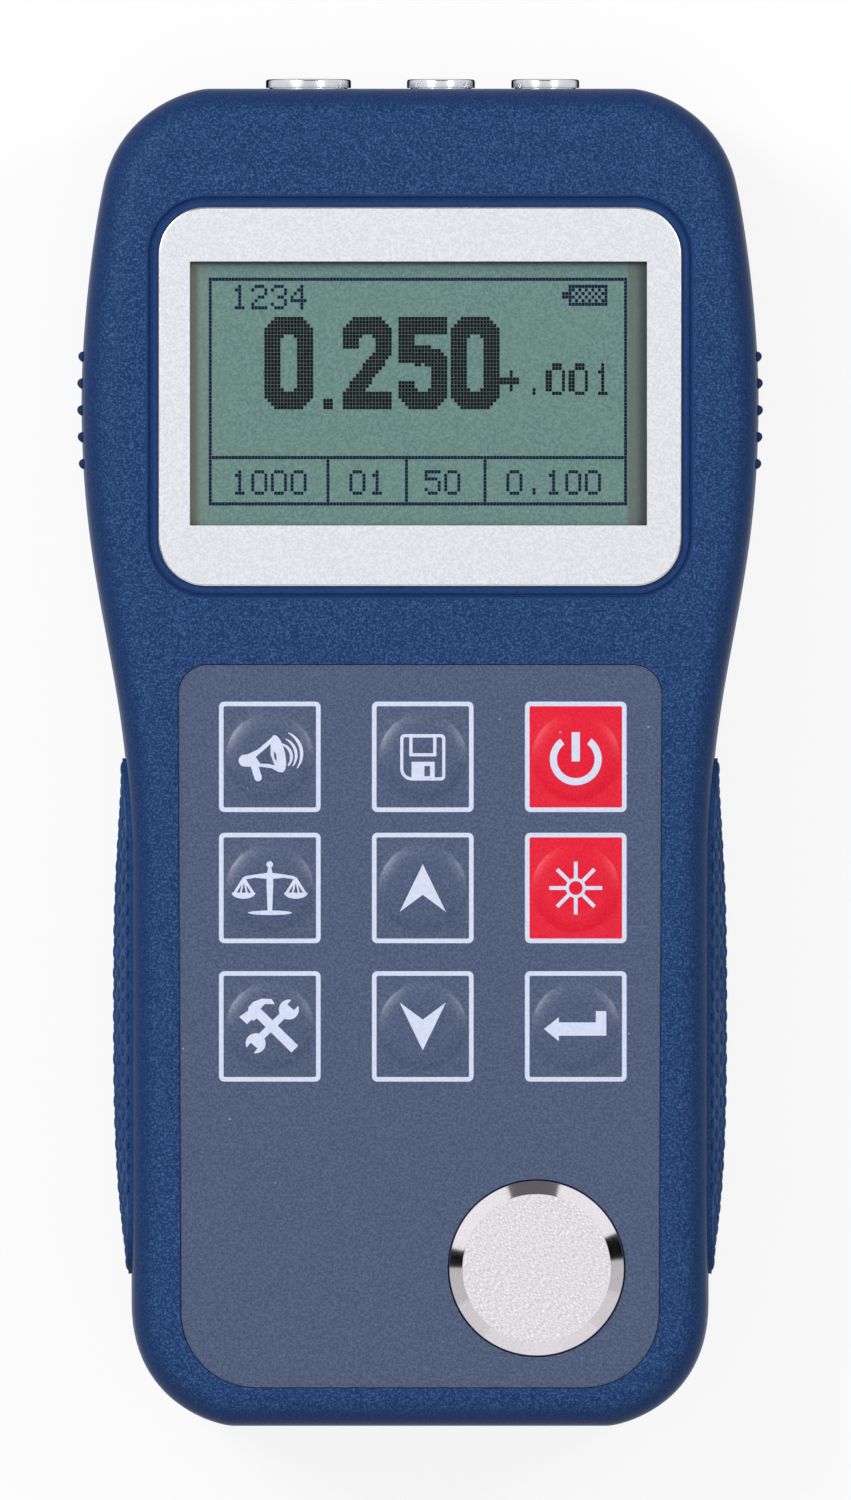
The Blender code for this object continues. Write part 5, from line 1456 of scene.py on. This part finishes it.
def socket_core(name, x, bore):
    """Make one socket's insert with its plated pin."""
    seat_y = TOP_Y + SOCKET_PROUD - SOCKET_BORE_DEPTH + GAP
    profile = [(0.0, PIN_TIP), (PIN_RADIUS * 0.6, PIN_TIP), (PIN_RADIUS, PIN_SHOULDER),
               (PIN_RADIUS, INSERT_THICK), (bore - GAP, INSERT_THICK), (bore - GAP, 0.0),
               (0.0, 0.0)]
    seat = Matrix.Translation((x, seat_y, SPLIT_HEIGHT)) @ LYING
    piece = turned(name + "_core", profile, seat, 48)
    for face in piece.data.polygons:
        face.material_index = 1 if face.center.y > seat_y + INSERT_THICK + 0.05 * MM else 0
    dress(piece, "housing", "insulator", INSULATOR, NICKEL, replaces=[name + "_insert"])


def sockets():
    """Make the round sockets with their inserts."""
    for name, x, radius in SOCKETS:
        bore = radius - SOCKET_NECK - SOCKET_WALL
        socket_shell(name, x, radius, bore)
        socket_core(name, x, bore)


def case_screws():
    """Make the four case screws with cross recesses."""
    for i, spot in enumerate(CASE_SCREWS):
        profile = [(0.0, SCREW_LENGTH), (SCREW_RADIUS, SCREW_LENGTH - SCREW_RADIUS),
                   (SCREW_RADIUS, 0.0), (SCREW_HEAD_RADIUS, 0.0)]
        profile += [(SCREW_HEAD_RADIUS * math.cos(a * 0.95),
                     -SCREW_HEAD * (0.35 + 0.65 * math.sin(a))) for a in quarter(8)]
        profile.append((0.0, -SCREW_HEAD))
        screw = turned(f"screw_{i + 1}", profile, Matrix.Identity(4), 40)
        for a, b in (CROSS, CROSS[::-1]):
            screw = carve(screw, box("slot", (-a, -b, -2 * SCREW_HEAD), (a, b, -CROSS_FLOOR)))
        screw.data.transform(Matrix.Translation((spot.x, spot.y, SCREW_SEAT - GAP)))
        dress(screw, "housing", "zinc_screw", ZINC, replaces=[f"case_screw_{i + 1}"])


def cells():
    """Make the two cells, one each way up."""
    body = CELL_LENGTH - CELL_NUB[1]
    bevel = CELL_BEVEL
    profile = [(0.0, CELL_LENGTH), (CELL_NUB[0] - NUB_BEVEL, CELL_LENGTH),
               (CELL_NUB[0], CELL_LENGTH - NUB_BEVEL), (CELL_NUB[0], body),
               (CELL_RADIUS - 2 * bevel, body), (CELL_RADIUS - 1.6 * bevel, body + CELL_LIP),
               (CELL_RADIUS - bevel, body), (CELL_RADIUS, body - bevel),
               (CELL_RADIUS, bevel), (CELL_RADIUS - bevel, 0.0), (0.0, 0.0)]
    for name, lean in (("battery_left", -1), ("battery_right", 1)):
        low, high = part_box(name)
        x = (low.x + high.x) / 2
        start = low.y if lean < 0 else high.y
        turn = (Matrix.Translation((x, start, CELL_Z))
                @ Matrix.Rotation(lean * math.pi / 2, 4, 'X'))
        cell = turned(name + "_cell", profile, turn, 72)
        for face in cell.data.polygons:
            side = math.hypot(face.center.x - x, face.center.z - CELL_Z)
            face.material_index = 1 if side < CELL_RADIUS - 1.5 * bevel else 0
        dress(cell, "housing", "cell_wrap", SLEEVE, TIN, replaces=[name])


def springs():
    """Make the coil spring at the minus end of each cell."""
    for name in ("foot_spring", "top_spring"):
        low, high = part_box(name)
        curve = bpy.data.curves.new(name, 'CURVE')
        curve.dimensions = '3D'
        curve.bevel_depth = SPRING_WIRE
        curve.bevel_resolution = 3
        curve.use_fill_caps = True
        last = SPRING_TURNS * SPRING_STEPS
        spline = curve.splines.new('POLY')
        spline.points.add(last)
        rise = high.y - low.y - 2.2 * SPRING_WIRE
        for i, point in enumerate(spline.points):
            angle = math.tau * SPRING_TURNS * (i / last)
            point.co = ((low.x + high.x) / 2 + SPRING_RADIUS * math.cos(angle),
                        low.y + 1.1 * SPRING_WIRE + rise * (i / last),
                        CELL_Z + SPRING_RADIUS * math.sin(angle), 1.0)
        piece = bake(add(name + "_coil", curve))
        dress(piece, "housing", "tinned_steel", TIN, replaces=[name], angle=60.0, weighted=False)


def inner_finishes():
    """Give the pieces inside the case their own finishes."""
    finishes = {"display_glass": CRYSTAL, "display_frame": TIN, "display_backlight": LIGHT_BLOCK,
                "keypad_spacer": SPACER, "dome_sheet": TIN, "keypad_tail": SPACER,
                "disc_retainer": TIN, "main_board": BOARD, "processor_chip": RESIN,
                "memory_chip": RESIN, "pulser_coil": RESIN, "buzzer": RESIN,
                "bridge_contact": TIN, "plus_contact": TIN, "minus_contact": TIN}
    finishes.update({name + "_nut": NICKEL for name, _, _ in SOCKETS})
    finishes.update({f"board_screw_{i}": ZINC for i in range(1, 5)})
    for name, finish in finishes.items():
        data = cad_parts[name].data
        data.materials.clear()
        data.materials.append(finish)


# Studio
def lamp(name, place, size, power):
    """Place a soft square light that faces the object."""
    data = bpy.data.lights.new(name, 'AREA')
    data.shape = 'RECTANGLE'
    data.size = data.size_y = size
    data.energy = power
    made = bpy.data.objects.new(name, data)
    bpy.context.scene.collection.objects.link(made)
    made.location = place
    made.visible_camera = False
    made.rotation_euler = (-Vector(place)).to_track_quat('-Z', 'Y').to_euler()
    return made


def card(name, place, facing, size, tone):
    """Stand a plain card in the studio, for bright faces to reflect."""
    shape = bmesh.new()
    bmesh.ops.create_grid(shape, x_segments=1, y_segments=1, size=0.5)
    turn = Vector(facing).to_track_quat('Z', 'Y').to_matrix().to_4x4()
    scaled = Matrix.Diagonal((size[0], size[1], 1.0, 1.0))
    shape.transform(Matrix.Translation(place) @ turn @ scaled)
    piece = mesh_from(name, shape)
    made, _, shader = start_material(name + "_card", 0.9, specular=0.0)
    shader.inputs["Base Color"].default_value = (0.0, 0.0, 0.0, 1.0)
    shader.inputs["Emission Color"].default_value = (tone, tone, tone, 1.0)
    shader.inputs["Emission Strength"].default_value = 1.0
    piece.data.materials.append(made)
    piece.visible_camera = False
    piece.visible_diffuse = False
    piece.visible_shadow = False


def ring_card(name, azimuth, size, tone):
    """Stand a card in the ring around the disc, azimuth in degrees anticlockwise from +Y."""
    turn = math.radians(azimuth)
    away = Vector((-math.sin(turn) * math.cos(RING_LIFT), math.cos(turn) * math.cos(RING_LIFT),
                   math.sin(RING_LIFT))) * RING_RADIUS
    card(name, Vector((DISC_X, DISC_Y, DISC_HIGH.z)) + away, away, size, tone)


def seen_rays(tree):
    """Return 1 for what the camera sees, directly, in a reflection or through glass."""
    path = tree.nodes.new('ShaderNodeLightPath').outputs
    mirrored = maths(tree, 'MAXIMUM', path["Is Glossy Ray"], path["Is Transmission Ray"])
    return maths(tree, 'MAXIMUM', path["Is Camera Ray"], mirrored)


def lay_floor():
    """Lay a pale floor that keeps the object's shadow and throws little light back at it."""
    shape = bmesh.new()
    bmesh.ops.create_grid(shape, x_segments=1, y_segments=1, size=FLOOR_HALF)
    floor = mesh_from("studio_floor", shape)
    made, tree, shader = start_material("studio_floor", 0.9, specular=0.0)
    tone = between(tree, use(tree, MOTTLE, Scale=3.0)["Mask"], (0.48, 0.48, 0.48),
                   (0.5, 0.5, 0.5))
    seen = seen_rays(tree)
    fill(tree, shader.inputs["Base Color"], between(tree, seen, tone, (0.95, 0.95, 0.95)))
    pale = tree.nodes.new('ShaderNodeEmission')
    blend = put(tree, 'ShaderNodeMixShader', Fac=maths(tree, 'MULTIPLY', seen, FLOOR_GLOW))
    tree.links.new(shader.outputs[0], blend.inputs[1])
    tree.links.new(pale.outputs[0], blend.inputs[2])
    tree.links.new(blend.outputs[0], tree.nodes["Material Output"].inputs["Surface"])
    floor.data.materials.append(made)


def light_world():
    """Light evenly from all round, and show white to the rays that see the background."""
    world = bpy.data.worlds.new("studio")
    world.use_nodes = True
    bpy.context.scene.world = world
    tree = world.node_tree
    light = tree.nodes["Background"]
    light.inputs["Color"].default_value = (1.0, 1.0, 1.0, 1.0)
    level = put(tree, 'ShaderNodeMapRange', Value=seen_rays(tree), To_Min=WORLD_LEVEL, To_Max=1.0)
    fill(tree, light.inputs["Strength"], level.outputs["Result"])


def set_lights():
    """Hang the lamps, and the cards that the disc's bevel mirrors."""
    lamp("left_light", (-0.62, 0.4, 0.95), 0.3, 6.2)
    lamp("right_light", (0.6, 0.3, 0.95), 0.14, 2.6)
    lamp("top_light", (0.0, -0.2, 1.5), 0.5, 4.2).visible_glossy = False
    card("card_ceiling", (0.0, -0.28, 0.35), (0.0, 0.0, 1.0), (1.2, 0.7), 0.35)
    for name, azimuth, size, tone in (("card_top", 2, (0.14, 0.16), 0.14),
                                      ("card_left", 84, (0.05, 0.16), 0.0),
                                      ("card_right", -76, (0.07, 0.16), 0.0)):
        ring_card(name, azimuth, size, tone)
    for i in range(LOW_CARDS):
        along = i / (LOW_CARDS - 1)
        ring_card(f"card_low_{i}", 102 + 164 * along, (0.15, 0.16),
                  0.6 + 0.3 * math.sin(math.pi * along))


def aim_camera():
    """Look straight down from far off, at the photograph's scale."""
    camera = bpy.data.cameras.new("camera")
    camera.sensor_fit = 'VERTICAL'
    camera.sensor_height = SENSOR_HEIGHT
    camera.lens = (SENSOR_HEIGHT * (CAMERA_HEIGHT - AIM_HEIGHT)
                   / (IMAGE_HEIGHT * METRES_PER_PIXEL))
    camera.clip_end = 5 * CAMERA_HEIGHT
    holder = bpy.data.objects.new("camera", camera)
    scene = bpy.context.scene
    scene.collection.objects.link(holder)
    holder.location = (VIEW_X, VIEW_Y, CAMERA_HEIGHT)
    scene.camera = holder
    scene.view_settings.view_transform = 'Standard'


front_case()
rear_case()
battery_door()
grips()
bezel()
display()
keypad()
zero_disc()
sockets()
case_screws()
cells()
springs()
inner_finishes()
lay_floor()
light_world()
set_lights()
aim_camera()
